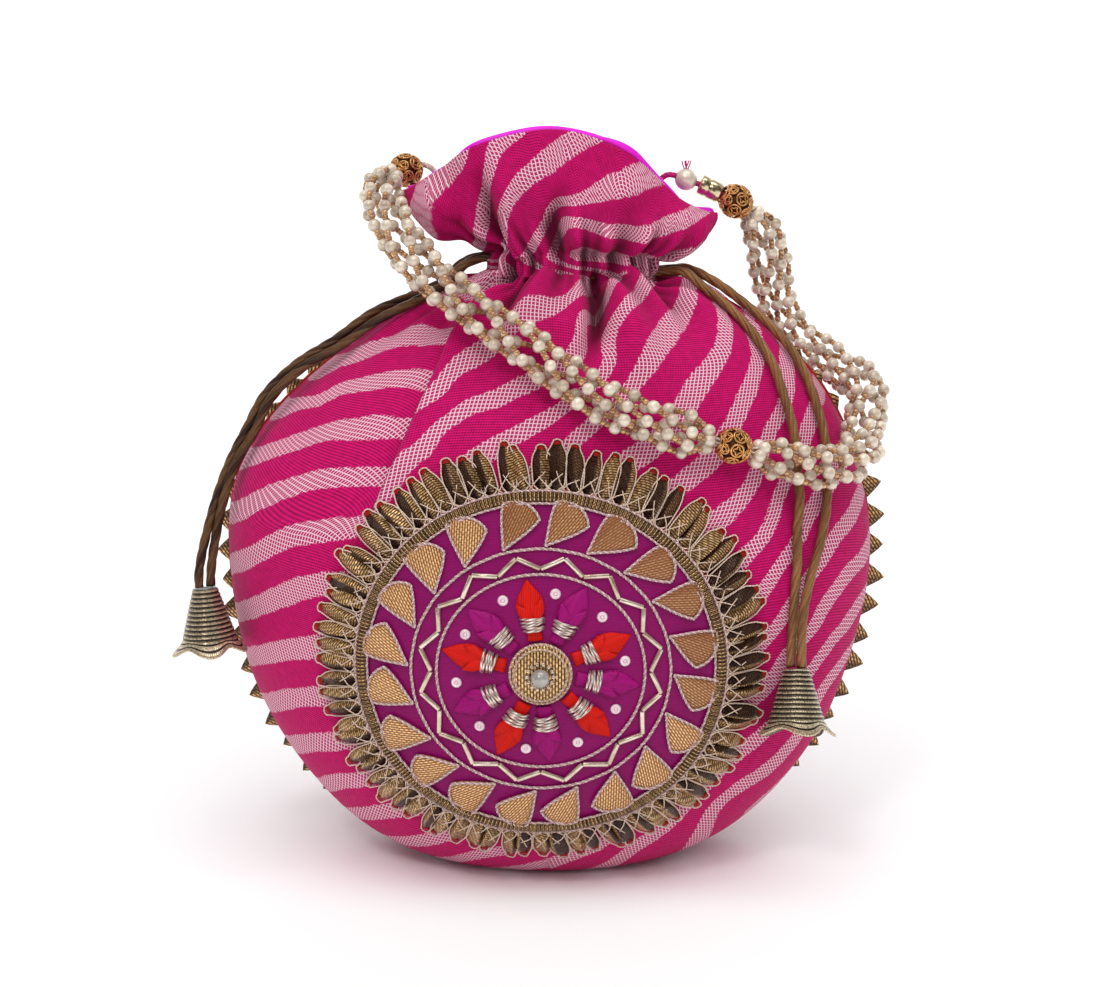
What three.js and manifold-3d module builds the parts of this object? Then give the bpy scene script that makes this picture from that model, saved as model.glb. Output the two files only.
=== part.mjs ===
// A potli bag: a round gathered drawstring pouch in striped cloth, with a trimmed seam, an embroidered
// roundel on its front, two drawstrings with bell tassels, and a carrying handle of twisted pearl strands.
// Millimetres. +X is the bag's right seen from the front, -Y is its front, +Z is up.
// The origin is on the flat base that the bag stands on, under its neck's middle.
import * as THREE from "three";
import { mergeVertices } from "three/addons/utils/BufferGeometryUtils.js";
import Module from "manifold-3d";

const wasm = await Module();
wasm.setup();

// Body
const BODY_HALF_WIDTH = 100;
const WIDEST_HEIGHT = 100;
const BELLY_FRONT = 54;
const BELLY_BACK = 48;
const BELLY_HEIGHT = 78;
const BASE_HALF_WIDTH = 32;
const BASE_FRONT = 15;
const BASE_BACK = 25;
const LOWER_FULLNESS = 1.75; // 2 is a true ellipse below the widest height, and less is slacker
const SHOULDER_FALL = 2.2; // how late the shoulder starts to fall, and then how steeply it does
const SHOULDER_STEEPNESS = 0.75;

// Neck casing and mouth frill
const CASING_BOTTOM = 184;
const CASING_HEIGHT = 9;
const NECK_HALF_WIDTH = 25;
const NECK_FRONT = 16;
const NECK_BACK = 15;
const NECK_SHIFT = 7.5; // the gathered neck sits this far to the right of the body's middle
const SHIFT_START_HEIGHT = 120;
const MOUTH_SHIFT = 3; // and the rim this far
const MOUTH_HALF_WIDTH = 45.2;
const MOUTH_FRONT = 18;
const MOUTH_BACK = 14;
const RIM_LEFT_HEIGHT = 210.5;
const RIM_RIGHT_HEIGHT = 204;
const RIM_SWELL = 22; // how far the rim stands up at the front, over the line between its two ends
const RIM_BACK_DROP = 6;
const MOUTH_WAVES = 6;
const MOUTH_WAVE_DEPTH = 2.4;
const GATHERS = 20;
const GATHER_DEPTH = 2.6;
const GATHER_REACH = 30; // how far the gathers run down from the casing

// Cloth layers
const WALL = 1.4;
const LINING_THICKNESS = 0.8;
const LINING_PROUD = 0.9; // the lining stands this far above the outer cloth at the rim
const CLEARANCE = 0.3;
const LINING_CLEARANCE = 0.5;
const CORD_DIAMETER = 3;
const CASING_ROOM = CORD_DIAMETER + 2.2; // between the outer cloth and the lining inside the casing

// Seam and its pointed trim
const TRIM_THICKNESS = 1.2;
const TRIM_POINTS = 52;
const TRIM_POINT_HEIGHT = 7.5;
const TRIM_VALLEY = 1.2;
const TRIM_TIP_THICKNESS = 0.6;
const TRIM_TOP_HEIGHT = 170;
const PRESSED_POINT_HEIGHT = 2.4; // where the handle lies over the trim
const PRESSED_FROM = 132;
const PRESSED_TO = 168;
const SEAM_BOTTOM_HEIGHT = 2.6;
const SEAM_AT_NECK = 0; // the seam's place front to back, at the neck
const SEAM_AT_BELLY = 6;

// Roundel, measured along the cloth from its own centre
const ROUNDEL_CENTRE_X = -2.4;
const ROUNDEL_CENTRE_HEIGHT = 75;
const ROUNDEL_SQUASH = 0.965; // its height over its width, as the slack cloth is drawn together
const DISC_RADIUS = 54.6;
const DISC_THICKNESS = 2;
const BRAID_WIDTH = 3.6;
const BRAID_HEIGHT = 1.9;
const BRAID_RIBS = 60;
const FRILL_PETALS = 84;
const FRILL_WIDTH = 15;
const FRILL_VALLEY_WIDTH = 5;
const FRILL_HEIGHT = 4.4;
const LEAVES = 20;
const LEAF_LENGTH = 12.6;
const LEAF_SPREAD_DEG = 46;
const LEAF_LEAN_DEG = 38;
const LEAF_HEIGHT = 1.7;
const LEAF_SETBACK = 1.5; // from the vine cord's middle to each leaf's point
const VINE_RADIUS = 37.4;
const VINE_KINK = 0.6;
const INNER_RING_RADIUS = 29.9;
const TWIST_CORD_WIDTH = 1.1;
const BUGLES = 32;
const BUGLE_RING_RADIUS = 33.4;
const BUGLE_ZIGZAG = 1.9; // half the zigzag's reach in and out
const BUGLE_WIDTH = 1.3;
const PETALS = 10;
const PETAL_ROOT_RADIUS = 10.2;
const PETAL_TIP_RADIUS = 28.6;
const PETAL_HALF_WIDTH = 3.9;
const PETAL_HEIGHT = 2;
const BINDING_RADIUS = 15.2;
const BINDING_LENGTH = 6.4;
const BINDING_WIDTH = 3.8;
const BINDING_HEIGHT = 2.8;
const SEQUIN_RING_RADIUS = 24.4;
const SEQUIN_RADIUS = 1.6;
const SEQUIN_HEIGHT = 0.7;
const BUTTON_RADIUS = 8.8;
const BUTTON_HEIGHT = 2.8;
const SEED_RING_RADIUS = 3.7;
const SEED_RADIUS = 0.75;
const SEEDS = 14;
const CENTRE_PEARL_RADIUS = 2.6;

// Tassels
const TASSEL_TOP_RADIUS = 3.6;
const TASSEL_CONE_RADIUS = 8;
const TASSEL_FLARE_RADIUS = 10.6;
const TASSEL_CONE_HEIGHT = 15;
const TASSEL_FLARE_HEIGHT = 3.6;
const TASSEL_WAVES = 5;
const TASSEL_WAVE_DEPTH = 1.1;
const TASSEL_WALL = 1.1;
const TASSEL_CAP = 4;

// Handle
const STRANDS = 6;
const PEARL_DIAMETER = 4;
const SPACER_DIAMETER = 1.8;
const THREAD_DIAMETER = 0.7;
const PEARL_PITCH = 6.7;
const BUNDLE_RADIUS = 5.2;
const SPREAD_LENGTH = 10; // how soon the strands spread out, after a ball
const BUNDLE_TWIST_TURNS = 1.6; // in each stretch between two balls
const BALL_RADIUS = 5.2;
const BALL_WALL = 0.8;
const BALL_BORE_RADIUS = 2.6;
const THREADS_RADIUS = 1.1; // the ring that the strands' threads make inside a ball
const THREADS_START = 1.2; // from a ball's middle to the threads on one side, and the sewn end on the other
const END_TUBE_RADIUS = 3.1;
const END_TUBE_LENGTH = 7;
const END_PEARL_RADIUS = 3.3;
const END_CORE_DIAMETER = 2.2;
const END_BORE_RADIUS = 1.5;

const RAD = Math.PI / 180;
const TURN = 2 * Math.PI;
const V = (x, y, z) => new THREE.Vector3(x, y, z);
const lerp = THREE.MathUtils.lerp;
const clamp = THREE.MathUtils.clamp;
const smoothstep = THREE.MathUtils.smoothstep;
const range = (n) => Array.from({ length: n }, (_, i) => i);

// Materials
const finish = (color, roughness, metalness) => new THREE.MeshStandardMaterial({ color, roughness, metalness });
const stripedCloth = finish(0xd81b8c, 0.85, 0);
const liningSatin = finish(0xe01cc8, 0.45, 0);
const roundelSatin = finish(0x9a0a78, 0.4, 0);
const goldRibbon = finish(0xb89a62, 0.4, 0.85);
const goldCord = finish(0x8a6a3c, 0.45, 0.6);
const silverThread = finish(0xd8c8b8, 0.35, 0.8);
const redRibbon = finish(0xe02410, 0.6, 0);
const magentaRibbon = finish(0xb0128c, 0.6, 0);
const pearlWhite = finish(0xece6da, 0.25, 0.1);
const filigreeGold = finish(0xa8783c, 0.3, 0.9);

// Solids from rings of points

// Adds the triangles between two closed rings, which may hold different numbers of points.
function zip(faces, lower, upper) {
  let i = 0;
  let j = 0;
  while (i < lower.length || j < upper.length) {
    const a = lower[i % lower.length];
    const b = upper[j % upper.length];
    const nextLower = (i + 1) / lower.length;
    const nextUpper = (j + 1) / upper.length;
    if (j >= upper.length || (i < lower.length && nextLower <= nextUpper)) {
      faces.push(a, lower[(i + 1) % lower.length], b);
      i += 1;
    } else {
      faces.push(a, upper[(j + 1) % upper.length], b);
      j += 1;
    }
  }
}

// A closed skin, whose faces are all turned over if they came out facing inwards.
function meshGeometry(points, faces) {
  let volume = 0;
  for (let i = 0; i < faces.length; i += 3) {
    const [a, b, c] = [points[faces[i]], points[faces[i + 1]], points[faces[i + 2]]];
    volume += a.dot(b.clone().cross(c));
  }
  const geometry = new THREE.BufferGeometry();
  geometry.setAttribute("position", new THREE.Float32BufferAttribute(points.flatMap((p) => [p.x, p.y, p.z]), 3));
  geometry.setIndex(volume < 0 ? [...faces].reverse() : faces);
  return geometry;
}

// A closed skin over a stack of rings, each ring counter-clockwise seen from the last one's side, with a flat fan over
// the first and the last ring.
function stack(rings) {
  const points = rings.flat();
  const faces = [];
  const indices = [];
  let count = 0;
  for (const ring of rings) {
    const start = count;
    indices.push(ring.map((_, i) => start + i));
    count += ring.length;
  }
  range(rings.length - 1).forEach((i) => zip(faces, indices[i], indices[i + 1]));
  const middle = (ring) => ring.reduce((sum, p) => sum.add(p), V(0, 0, 0)).divideScalar(ring.length);
  const first = points.push(middle(rings[0])) - 1;
  const last = points.push(middle(rings[rings.length - 1])) - 1;
  indices[0].forEach((a, i, ring) => faces.push(first, ring[(i + 1) % ring.length], a));
  indices[indices.length - 1].forEach((a, i, ring) => faces.push(last, a, ring[(i + 1) % ring.length]));
  return meshGeometry(points, faces);
}

// A closed loop of sections, such as a ring of braid: each section is a closed list of points.
function loop(sections) {
  const points = sections.flat();
  const size = sections[0].length;
  const faces = [];
  sections.forEach((_, i) => {
    const from = i * size;
    const to = ((i + 1) % sections.length) * size;
    range(size).forEach((k) => {
      const next = (k + 1) % size;
      faces.push(from + k, to + k, to + next, from + k, to + next, from + next);
    });
  });
  return meshGeometry(points, faces);
}

// Booleans

function solid(geometry) {
  const bare = geometry.index ? geometry.toNonIndexed() : geometry.clone();
  bare.deleteAttribute("normal");
  bare.deleteAttribute("uv");
  const merged = mergeVertices(bare, 1e-4);
  const made = new wasm.Manifold(
    new wasm.Mesh({
      numProp: 3,
      vertProperties: merged.attributes.position.array,
      triVerts: new Uint32Array(merged.index.array),
    }),
  );
  return made;
}

function fromSolid(made) {
  const mesh = made.getMesh();
  const geometry = new THREE.BufferGeometry();
  geometry.setAttribute("position", new THREE.BufferAttribute(new Float32Array(mesh.vertProperties), 3));
  geometry.setIndex(new THREE.BufferAttribute(new Uint32Array(mesh.triVerts), 1));
  return geometry;
}

// The body's form

const NECK_HEIGHT = CASING_BOTTOM;
const CASING_TOP = CASING_BOTTOM + CASING_HEIGHT;

// A size that swells from `base` at the floor to `belly` at `peak`, and falls to `neck` at the casing.
function swell(z, base, belly, neck, peak) {
  if (z <= peak) {
    const rise = 1 - (1 - Math.max(z, 0) / peak) ** 2;
    return base + (belly - base) * rise ** (1 / LOWER_FULLNESS);
  }
  const fall = Math.min((z - peak) / (NECK_HEIGHT - peak), 1);
  return neck + (belly - neck) * (1 - fall ** SHOULDER_FALL) ** SHOULDER_STEEPNESS;
}

const halfWidth = (z) => swell(z, BASE_HALF_WIDTH, BODY_HALF_WIDTH, NECK_HALF_WIDTH, WIDEST_HEIGHT);
const frontAt = (z) => -swell(z, BASE_FRONT, BELLY_FRONT, NECK_FRONT, BELLY_HEIGHT);
const backAt = (z) => swell(z, BASE_BACK, BELLY_BACK, NECK_BACK, BELLY_HEIGHT);
const middleX = (z) => NECK_SHIFT * smoothstep(z, SHIFT_START_HEIGHT, NECK_HEIGHT);
const middleY = (z) =>
  lerp((BASE_BACK - BASE_FRONT) / 2, (NECK_BACK - NECK_FRONT) / 2, clamp(z / NECK_HEIGHT, 0, 1));

// A point of a level ring: angle 0 is at the right, and -90 degrees at the front.
function ringPoint(angle, x, y, half, front, back, z) {
  const s = Math.sin(angle);
  return V(x + half * Math.cos(angle), y + (s < 0 ? (y - front) * s : (back - y) * s), z);
}

// The height of the rim over the casing's top, which peaks left of the middle and is lower at the back.
function rimRise(angle) {
  const across = (Math.cos(angle) + 1) / 2;
  const ends = lerp(RIM_LEFT_HEIGHT, RIM_RIGHT_HEIGHT, across);
  const bump = Math.abs(Math.sin(angle)) ** lerp(1.8, 3.3, across);
  const drop = Math.sin(angle) > 0 ? RIM_BACK_DROP * Math.sin(angle) ** 2 : 0;
  return ends + RIM_SWELL * bump - drop - CASING_TOP;
}

// The cloth's smooth form. `t` runs from 0 at the floor to 1 at the casing's foot, 2 at its top and 3 at the rim.
function form(angle, t) {
  if (t <= 1) {
    const rise = Math.sin((Math.PI / 2) * (2 * t - 1));
    const z =
      t < 0.5 ? WIDEST_HEIGHT * (1 - Math.cos(Math.PI * t)) : lerp(WIDEST_HEIGHT, NECK_HEIGHT, rise);
    return ringPoint(angle, middleX(z), middleY(z), halfWidth(z), frontAt(z), backAt(z), z);
  }
  const y = middleY(NECK_HEIGHT);
  const up = clamp(t - 1, 0, 1) * CASING_HEIGHT;
  const flare = Math.max(t - 2, 0);
  const open = 1 - (1 - flare) ** 2;
  const wave =
    MOUTH_WAVE_DEPTH *
    flare ** 1.3 *
    (0.75 * Math.cos(MOUTH_WAVES * (angle + Math.PI / 2) + Math.PI) + 0.25 * Math.cos(2 * MOUTH_WAVES * angle + 1));
  return ringPoint(
    angle,
    lerp(NECK_SHIFT, MOUTH_SHIFT, flare),
    y,
    lerp(NECK_HALF_WIDTH, MOUTH_HALF_WIDTH, open) + wave,
    lerp(-NECK_FRONT, -MOUTH_FRONT, open) - wave,
    lerp(NECK_BACK, MOUTH_BACK, open) + wave,
    NECK_HEIGHT + up + rimRise(angle) * flare,
  );
}

// The form's point moved `out` along its own outward normal.
function clothPoint(angle, t, out) {
  const e = 1e-3;
  const across = form(angle + e, t).sub(form(angle - e, t));
  const upwards = form(angle, Math.min(t + e, 3.2)).sub(form(angle, Math.max(t - e, 0)));
  return form(angle, t).add(across.cross(upwards).normalize().multiplyScalar(out));
}

// How far the drawn-up cloth stands out in gathers round the neck.
function gather(angle, t) {
  const z = form(angle, t).z;
  const below = smoothstep(z, NECK_HEIGHT - GATHER_REACH, NECK_HEIGHT - 1);
  const above = 1 - smoothstep(z, CASING_TOP, CASING_TOP + 16);
  const casing = t > 1 && t < 2 ? 0.6 : 1;
  const uneven = 0.78 + 0.22 * Math.sin(5 * angle + 1);
  return GATHER_DEPTH * below * above * casing * uneven * (0.5 + 0.5 * Math.cos(GATHERS * angle));
}

const anglesOf = (n) => range(n).map((i) => (i / n) * TURN);
const outerRing = (n, t) => anglesOf(n).map((a) => clothPoint(a, t, gather(a, t)));
const offsetRing = (n, t, inwards) => anglesOf(n).map((a) => clothPoint(a, t, -inwards));

// Rings for each stretch of the form: how many points each ring has, and at which t it lies.
const BODY_SIDES = 40;
const GATHERED_SIDES = 4 * GATHERS;
const lowerRows = [0, 0.09, 0.17, 0.26, 0.35, 0.44, 0.54, 0.64];
const gatheredRows = [0.74, 0.83, 0.9, 0.96, 1, 1.5, 2, 2.15, 2.4, 2.7, 3];
const INNER_BODY_SIDES = 28;
const INNER_NECK_SIDES = 56;
const innerLowerRows = [0, 0.12, 0.26, 0.42, 0.6];
const innerGatheredRows = [0.78, 0.92, 1, 1.5, 2, 2.3, 2.65];

// Outer cloth, lining and the seam between front and back

function innerRings(inwards, rimT) {
  const low = innerLowerRows.map((t) => offsetRing(INNER_BODY_SIDES, t, inwards(t)));
  const high = [...innerGatheredRows, rimT].map((t) => offsetRing(INNER_NECK_SIDES, t, inwards(t)));
  return [...low, ...high];
}

// The room between the outer cloth and the lining is widest in the casing, where the drawstrings run.
function liningDepth(t) {
  const casing = smoothstep(t, 0.9, 1) * (1 - smoothstep(t, 2, 2.3));
  return WALL + lerp(LINING_CLEARANCE, CASING_ROOM, casing);
}

function outerShell() {
  const outside = [
    ...lowerRows.map((t) => outerRing(BODY_SIDES, t)),
    ...gatheredRows.map((t) => outerRing(GATHERED_SIDES, t)),
  ];
  return stack([...outside, ...innerRings(() => WALL, 3).reverse()]);
}

function liningShell() {
  const rim = 3 + LINING_PROUD / 30;
  const outside = innerRings(liningDepth, rim);
  const inside = innerRings((t) => liningDepth(t) + LINING_THICKNESS, rim);
  return stack([...outside, ...inside.reverse()]);
}

// The seam seen from the side, as a curve of y and z from above the mouth down the flank and out along the floor.
const seamSide = new THREE.CatmullRomCurve3(
  [
    V(0, SEAM_AT_NECK, CASING_TOP + 70),
    V(0, SEAM_AT_NECK, NECK_HEIGHT),
    V(0, lerp(SEAM_AT_NECK, SEAM_AT_BELLY, 0.5), WIDEST_HEIGHT + 25),
    V(0, SEAM_AT_BELLY, BELLY_HEIGHT - 20),
    V(0, SEAM_AT_BELLY + 6, 22),
    V(0, BASE_BACK - 6, SEAM_BOTTOM_HEIGHT + 4),
    V(0, BASE_BACK + 4, SEAM_BOTTOM_HEIGHT),
    V(0, BASE_BACK + 30, SEAM_BOTTOM_HEIGHT),
  ],
  false,
  "centripetal",
);
const SEAM_SAMPLES = 48;
const seamLine = seamSide.getSpacedPoints(SEAM_SAMPLES);

// The seam line moved `out` towards the back.
function seamOffset(i, out) {
  const before = seamLine[Math.max(i - 1, 0)];
  const after = seamLine[Math.min(i + 1, SEAM_SAMPLES)];
  const along = after.clone().sub(before).normalize();
  return V(0, seamLine[i].y - along.z * out, seamLine[i].z + along.y * out);
}

// A block as wide as the bag that holds everything in front of the seam, or behind it, up to half the seam's gap.
function seamBlock(front) {
  const gap = TRIM_THICKNESS / 2 + CLEARANCE + 0.2;
  const line = range(SEAM_SAMPLES + 1).map((i) => seamOffset(i, front ? -gap : gap));
  const far = BODY_HALF_WIDTH + 40;
  const low = -30;
  const high = line[0].z;
  const end = line[line.length - 1];
  const corners = front
    ? [...line.map((p) => [p.y, p.z]), [end.y, low], [-far, low], [-far, high]]
    : [...line.map((p) => [p.y, p.z]), [far, end.z], [far, high]];
  const shape = new THREE.Shape(corners.map(([y, z]) => new THREE.Vector2(y, z)));
  const block = new THREE.ExtrudeGeometry(shape, { depth: 2 * far, bevelEnabled: false });
  const facing = new THREE.Matrix4().makeBasis(V(0, 1, 0), V(0, 0, 1), V(1, 0, 0));
  return block.applyMatrix4(facing).translate(-far, 0, 0);
}

// The slit at each side of the casing where a drawstring's two ends come out.
const SLIT_DEPTH = 14;
const SLIT_WIDTH = 2 * CORD_DIAMETER + 9;
const SLIT_HEIGHT = CORD_DIAMETER + 2;
const LEFT_CORD_HEIGHT = CASING_BOTTOM + 6.7;
const RIGHT_CORD_HEIGHT = CASING_BOTTOM + 2.3;

function slit(side) {
  const z = side < 0 ? LEFT_CORD_HEIGHT : RIGHT_CORD_HEIGHT;
  const x = NECK_SHIFT + side * (NECK_HALF_WIDTH + 1);
  return new THREE.BoxGeometry(SLIT_DEPTH, SLIT_WIDTH, SLIT_HEIGHT).translate(x, middleY(NECK_HEIGHT), z);
}

const shell = solid(outerShell())
  .subtract(solid(slit(-1)))
  .subtract(solid(slit(1)));
const frontPanel = fromSolid(shell.intersect(solid(seamBlock(true))));
const backPanel = fromSolid(shell.intersect(solid(seamBlock(false))));

// The point at `s` samples down the seam line, moved `out` towards the back.
function onSeam(s, out) {
  const i = clamp(Math.floor(s), 0, SEAM_SAMPLES - 1);
  return seamOffset(i, out).lerp(seamOffset(i + 1, out), clamp(s - i, 0, 1));
}

// The trim's outline, from the neck to the floor: how far down the seam line, and how wide the bag is there.
function seamOutline() {
  const points = [];
  const finer = 8;
  range(finer * SEAM_SAMPLES).forEach((k) => {
    const p = onSeam(k / finer, 0);
    if (p.z > TRIM_TOP_HEIGHT) return;
    const z = Math.max(p.z, 0);
    const mid = middleY(z);
    const reach = p.y < mid ? (mid - p.y) / (mid - frontAt(z)) : (p.y - mid) / (backAt(z) - mid);
    if (reach < 1) points.push({ s: k / finer, half: halfWidth(z) * Math.sqrt(1 - reach ** 2), shift: middleX(z) });
  });
  return points;
}

function seamTrim() {
  const side = seamOutline();
  const length = seamSide.getLength() / SEAM_SAMPLES;
  const flat = [
    ...side.map((p) => V(p.shift + p.half, p.s * length, 0)),
    ...side.map((p) => V(p.shift - p.half, p.s * length, 0)).reverse(),
  ];
  const outline = new THREE.CatmullRomCurve3(flat, false, "centripetal");
  outline.arcLengthDivisions = 2000;
  const stops = 2 * TRIM_POINTS;
  const at = outline.getSpacedPoints(stops);
  // A point of the seam's surface, from its flat place, moved `out` towards the back.
  const place = (flatPoint, out) => {
    const p = onSeam(flatPoint.y / length, out);
    return V(flatPoint.x, p.y, p.z);
  };
  const pressed = (p) => {
    const z = place(p, 0).z;
    return z > PRESSED_FROM && z < PRESSED_TO;
  };
  const sections = at.map((p, i) => {
    const along = at[Math.min(i + 1, stops)].clone().sub(at[Math.max(i - 1, 0)]).normalize();
    const outwards = V(along.y, -along.x, 0);
    const peak = i % 2 === 1;
    const height = p.x > 0 && pressed(p) ? PRESSED_POINT_HEIGHT : TRIM_POINT_HEIGHT;
    const tip = p.clone().addScaledVector(outwards, peak ? height : TRIM_VALLEY);
    const root = p.clone().addScaledVector(outwards, -(WALL - 0.3));
    const half = (peak ? TRIM_TIP_THICKNESS : TRIM_THICKNESS) / 2;
    return [place(root, TRIM_THICKNESS / 2), place(root, -TRIM_THICKNESS / 2), place(tip, -half), place(tip, half)];
  });
  return stack(sections);
}

// The roundel's own surface

const frontSurface = (x, z) =>
  middleY(z) - (middleY(z) - frontAt(z)) * Math.sqrt(1 - ((x - middleX(z)) / halfWidth(z)) ** 2);
const slopeX = (x, z) => (frontSurface(x + 0.05, z) - frontSurface(x - 0.05, z)) / 0.1;
const slopeZ = (x, z) => (frontSurface(x, z + 0.05) - frontSurface(x, z - 0.05)) / 0.1;
const MARCH_STEPS = 14;

// The point of the front at u across and v up from the roundel's centre, measured along the cloth, `h` off the cloth.
function onFront(u, v, h) {
  let z = ROUNDEL_CENTRE_HEIGHT;
  range(MARCH_STEPS).forEach(() => {
    z += (ROUNDEL_SQUASH * v) / MARCH_STEPS / Math.hypot(1, slopeZ(ROUNDEL_CENTRE_X, z));
  });
  let x = ROUNDEL_CENTRE_X;
  range(MARCH_STEPS).forEach(() => {
    x += u / MARCH_STEPS / Math.hypot(1, slopeX(x, z));
  });
  const normal = V(slopeX(x, z), -1, slopeZ(x, z)).normalize();
  return V(x, frontSurface(x, z), z).addScaledVector(normal, h);
}

const polar = (r, angle, h) => onFront(r * Math.cos(angle), r * Math.sin(angle), h);

// The place and turn of a small piece that sits at (u, v): its own z points off the cloth.
function seat(mesh, u, v, h) {
  const at = onFront(u, v, h);
  const normal = onFront(u, v, h + 1).sub(at).normalize();
  const across = onFront(u + 0.5, v, h).sub(at).normalize();
  const up = normal.clone().cross(across).normalize();
  mesh.position.copy(at);
  mesh.quaternion.setFromRotationMatrix(new THREE.Matrix4().makeBasis(up.clone().cross(normal), up, normal));
  return mesh;
}

const DISC_BACK = CLEARANCE + 0.25;
const DISC_FACE = DISC_BACK + DISC_THICKNESS;
const ON_DISC = DISC_FACE + CLEARANCE;

function discGeometry() {
  const ring = (r, n, h) => anglesOf(n).map((a) => polar(r, a, h));
  const rim = DISC_RADIUS;
  const face = [rim, rim * 0.8, rim * 0.55, rim * 0.25].map((r, i) => ring(r, [40, 40, 28, 12][i], DISC_FACE));
  const back = [rim * 0.25, rim * 0.55, rim * 0.8, rim].map((r, i) => ring(r, [12, 28, 40, 40][i], DISC_BACK));
  return stack([...back, ...face]);
}

// Sequins are stitched flat on the satin, one between each two ribbon petals.
function sequin(k) {
  const angle = ((k + 0.5) / PETALS) * TURN + PETAL_START;
  const ring = (h) => anglesOf(8).map((a) => {
    const u = SEQUIN_RING_RADIUS * Math.cos(angle) + SEQUIN_RADIUS * Math.cos(a);
    const v = SEQUIN_RING_RADIUS * Math.sin(angle) + SEQUIN_RADIUS * Math.sin(a);
    return onFront(u, v, h);
  });
  return stack([ring(DISC_FACE - 0.5), ring(DISC_FACE + SEQUIN_HEIGHT)]);
}

const PETAL_START = 98 * RAD; // the first ribbon petal, a little left of straight up
const satinDisc = fromSolid(range(PETALS).reduce((disc, k) => disc.add(solid(sequin(k))), solid(discGeometry())));

// The frill round the disc: folded ribbon petals, joined along their inner edge.
function frillGeometry() {
  const inner = DISC_RADIUS + CLEARANCE;
  const pitch = TURN / FRILL_PETALS;
  const back = CLEARANCE + 0.1;
  const points = [];
  range(FRILL_PETALS).forEach((j) => {
    const a = j * pitch;
    const lean = 0.3 * pitch * Math.sin(2.3 * j) + 0.2 * pitch;
    const length = FRILL_WIDTH - 0.8 - 0.8 * Math.sin(1.7 * j);
    points.push(
      polar(inner, a, back),
      polar(inner, a, DISC_FACE),
      polar(inner + FRILL_VALLEY_WIDTH, a, back),
      polar(inner + FRILL_VALLEY_WIDTH, a, back + 0.8),
      polar(inner + FRILL_VALLEY_WIDTH, a + 0.5 * pitch, FRILL_HEIGHT),
      polar(inner + length, a + 0.5 * pitch + lean, back + 0.9),
    );
  });
  const faces = [];
  const size = 6;
  range(FRILL_PETALS).forEach((j) => {
    const here = range(size).map((k) => j * size + k);
    const next = range(size).map((k) => ((j + 1) % FRILL_PETALS) * size + k);
    const [rootBack, root, valleyBack, valley, ridge, tip] = here;
    const [nextRootBack, nextRoot, nextValleyBack, nextValley] = next;
    faces.push(root, ridge, nextRoot, root, valley, ridge, nextRoot, ridge, nextValley);
    faces.push(valley, tip, ridge, ridge, tip, nextValley);
    faces.push(valley, valleyBack, tip, nextValley, tip, nextValleyBack);
    faces.push(rootBack, nextRootBack, nextValleyBack, rootBack, nextValleyBack, valleyBack);
    faces.push(valleyBack, nextValleyBack, tip);
    faces.push(rootBack, root, nextRoot, rootBack, nextRoot, nextRootBack);
  });
  return meshGeometry(points, faces);
}

// A cord or braid laid in a ring on the disc, with a four-sided section.
function laidRing(steps, radiusAt, width, height) {
  return loop(
    range(steps).map((i) => {
      const a = (i / steps) * TURN;
      const r = radiusAt(i, a);
      const top = ON_DISC + (typeof height === "function" ? height(i) : height);
      return [
        polar(r - width / 2, a, ON_DISC),
        polar(r - width / 2, a, top),
        polar(r + width / 2, a, top),
        polar(r + width / 2, a, ON_DISC),
      ];
    }),
  );
}

const braidRing = laidRing(
  BRAID_RIBS,
  () => DISC_RADIUS - BRAID_WIDTH / 2,
  BRAID_WIDTH,
  (i) => BRAID_HEIGHT * (i % 2 ? 0.75 : 1),
);
const vineCord = laidRing(
  3 * LEAVES,
  (i) => VINE_RADIUS + (i % 3 === 0 ? VINE_KINK : -VINE_KINK),
  TWIST_CORD_WIDTH,
  TWIST_CORD_WIDTH,
);
const innerCord = laidRing(40, () => INNER_RING_RADIUS, TWIST_CORD_WIDTH, TWIST_CORD_WIDTH);
const bugleRing = laidRing(
  BUGLES,
  (i) => BUGLE_RING_RADIUS + (i % 2 ? BUGLE_ZIGZAG : -BUGLE_ZIGZAG),
  BUGLE_WIDTH,
  BUGLE_WIDTH,
);

// A low roof over an outline drawn on the disc: `outline` is a list of [u, v], and `ridge` the roof's own [u, v].
function roof(outline, ridge, edge, height) {
  const low = outline.map(([u, v]) => onFront(u, v, ON_DISC));
  const high = outline.map(([u, v]) => onFront(u, v, ON_DISC + edge));
  const points = [...low, ...high, onFront(ridge[0], ridge[1], ON_DISC + height)];
  const n = outline.length;
  const faces = [];
  range(n).forEach((i) => {
    const j = (i + 1) % n;
    faces.push(i, j, n + j, i, n + j, n + i, n + i, n + j, 2 * n);
  });
  range(n - 2).forEach((i) => faces.push(0, i + 2, i + 1));
  return meshGeometry(points, faces);
}

// One cone-folded leaf: its point touches the vine cord, and its round side leans clockwise, towards the braid.
const LEAF_SIDES = 5;
const LEAF_START = 88 * RAD;

function leafGeometry(k) {
  const place = LEAF_START - (k / LEAVES) * TURN;
  const tip = VINE_RADIUS + LEAF_SETBACK;
  const axis = place - LEAF_LEAN_DEG * RAD;
  const tipAt = [tip * Math.cos(place), tip * Math.sin(place)];
  const at = (angle, length) => [tipAt[0] + length * Math.cos(angle), tipAt[1] + length * Math.sin(angle)];
  const fan = range(LEAF_SIDES).map((i) => {
    const share = i / (LEAF_SIDES - 1) - 0.5;
    return at(axis + share * LEAF_SPREAD_DEG * RAD, LEAF_LENGTH * (1 - 0.5 * share ** 2));
  });
  return roof([tipAt, ...fan], at(axis, LEAF_LENGTH * 0.6), 0.8, LEAF_HEIGHT);
}

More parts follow.
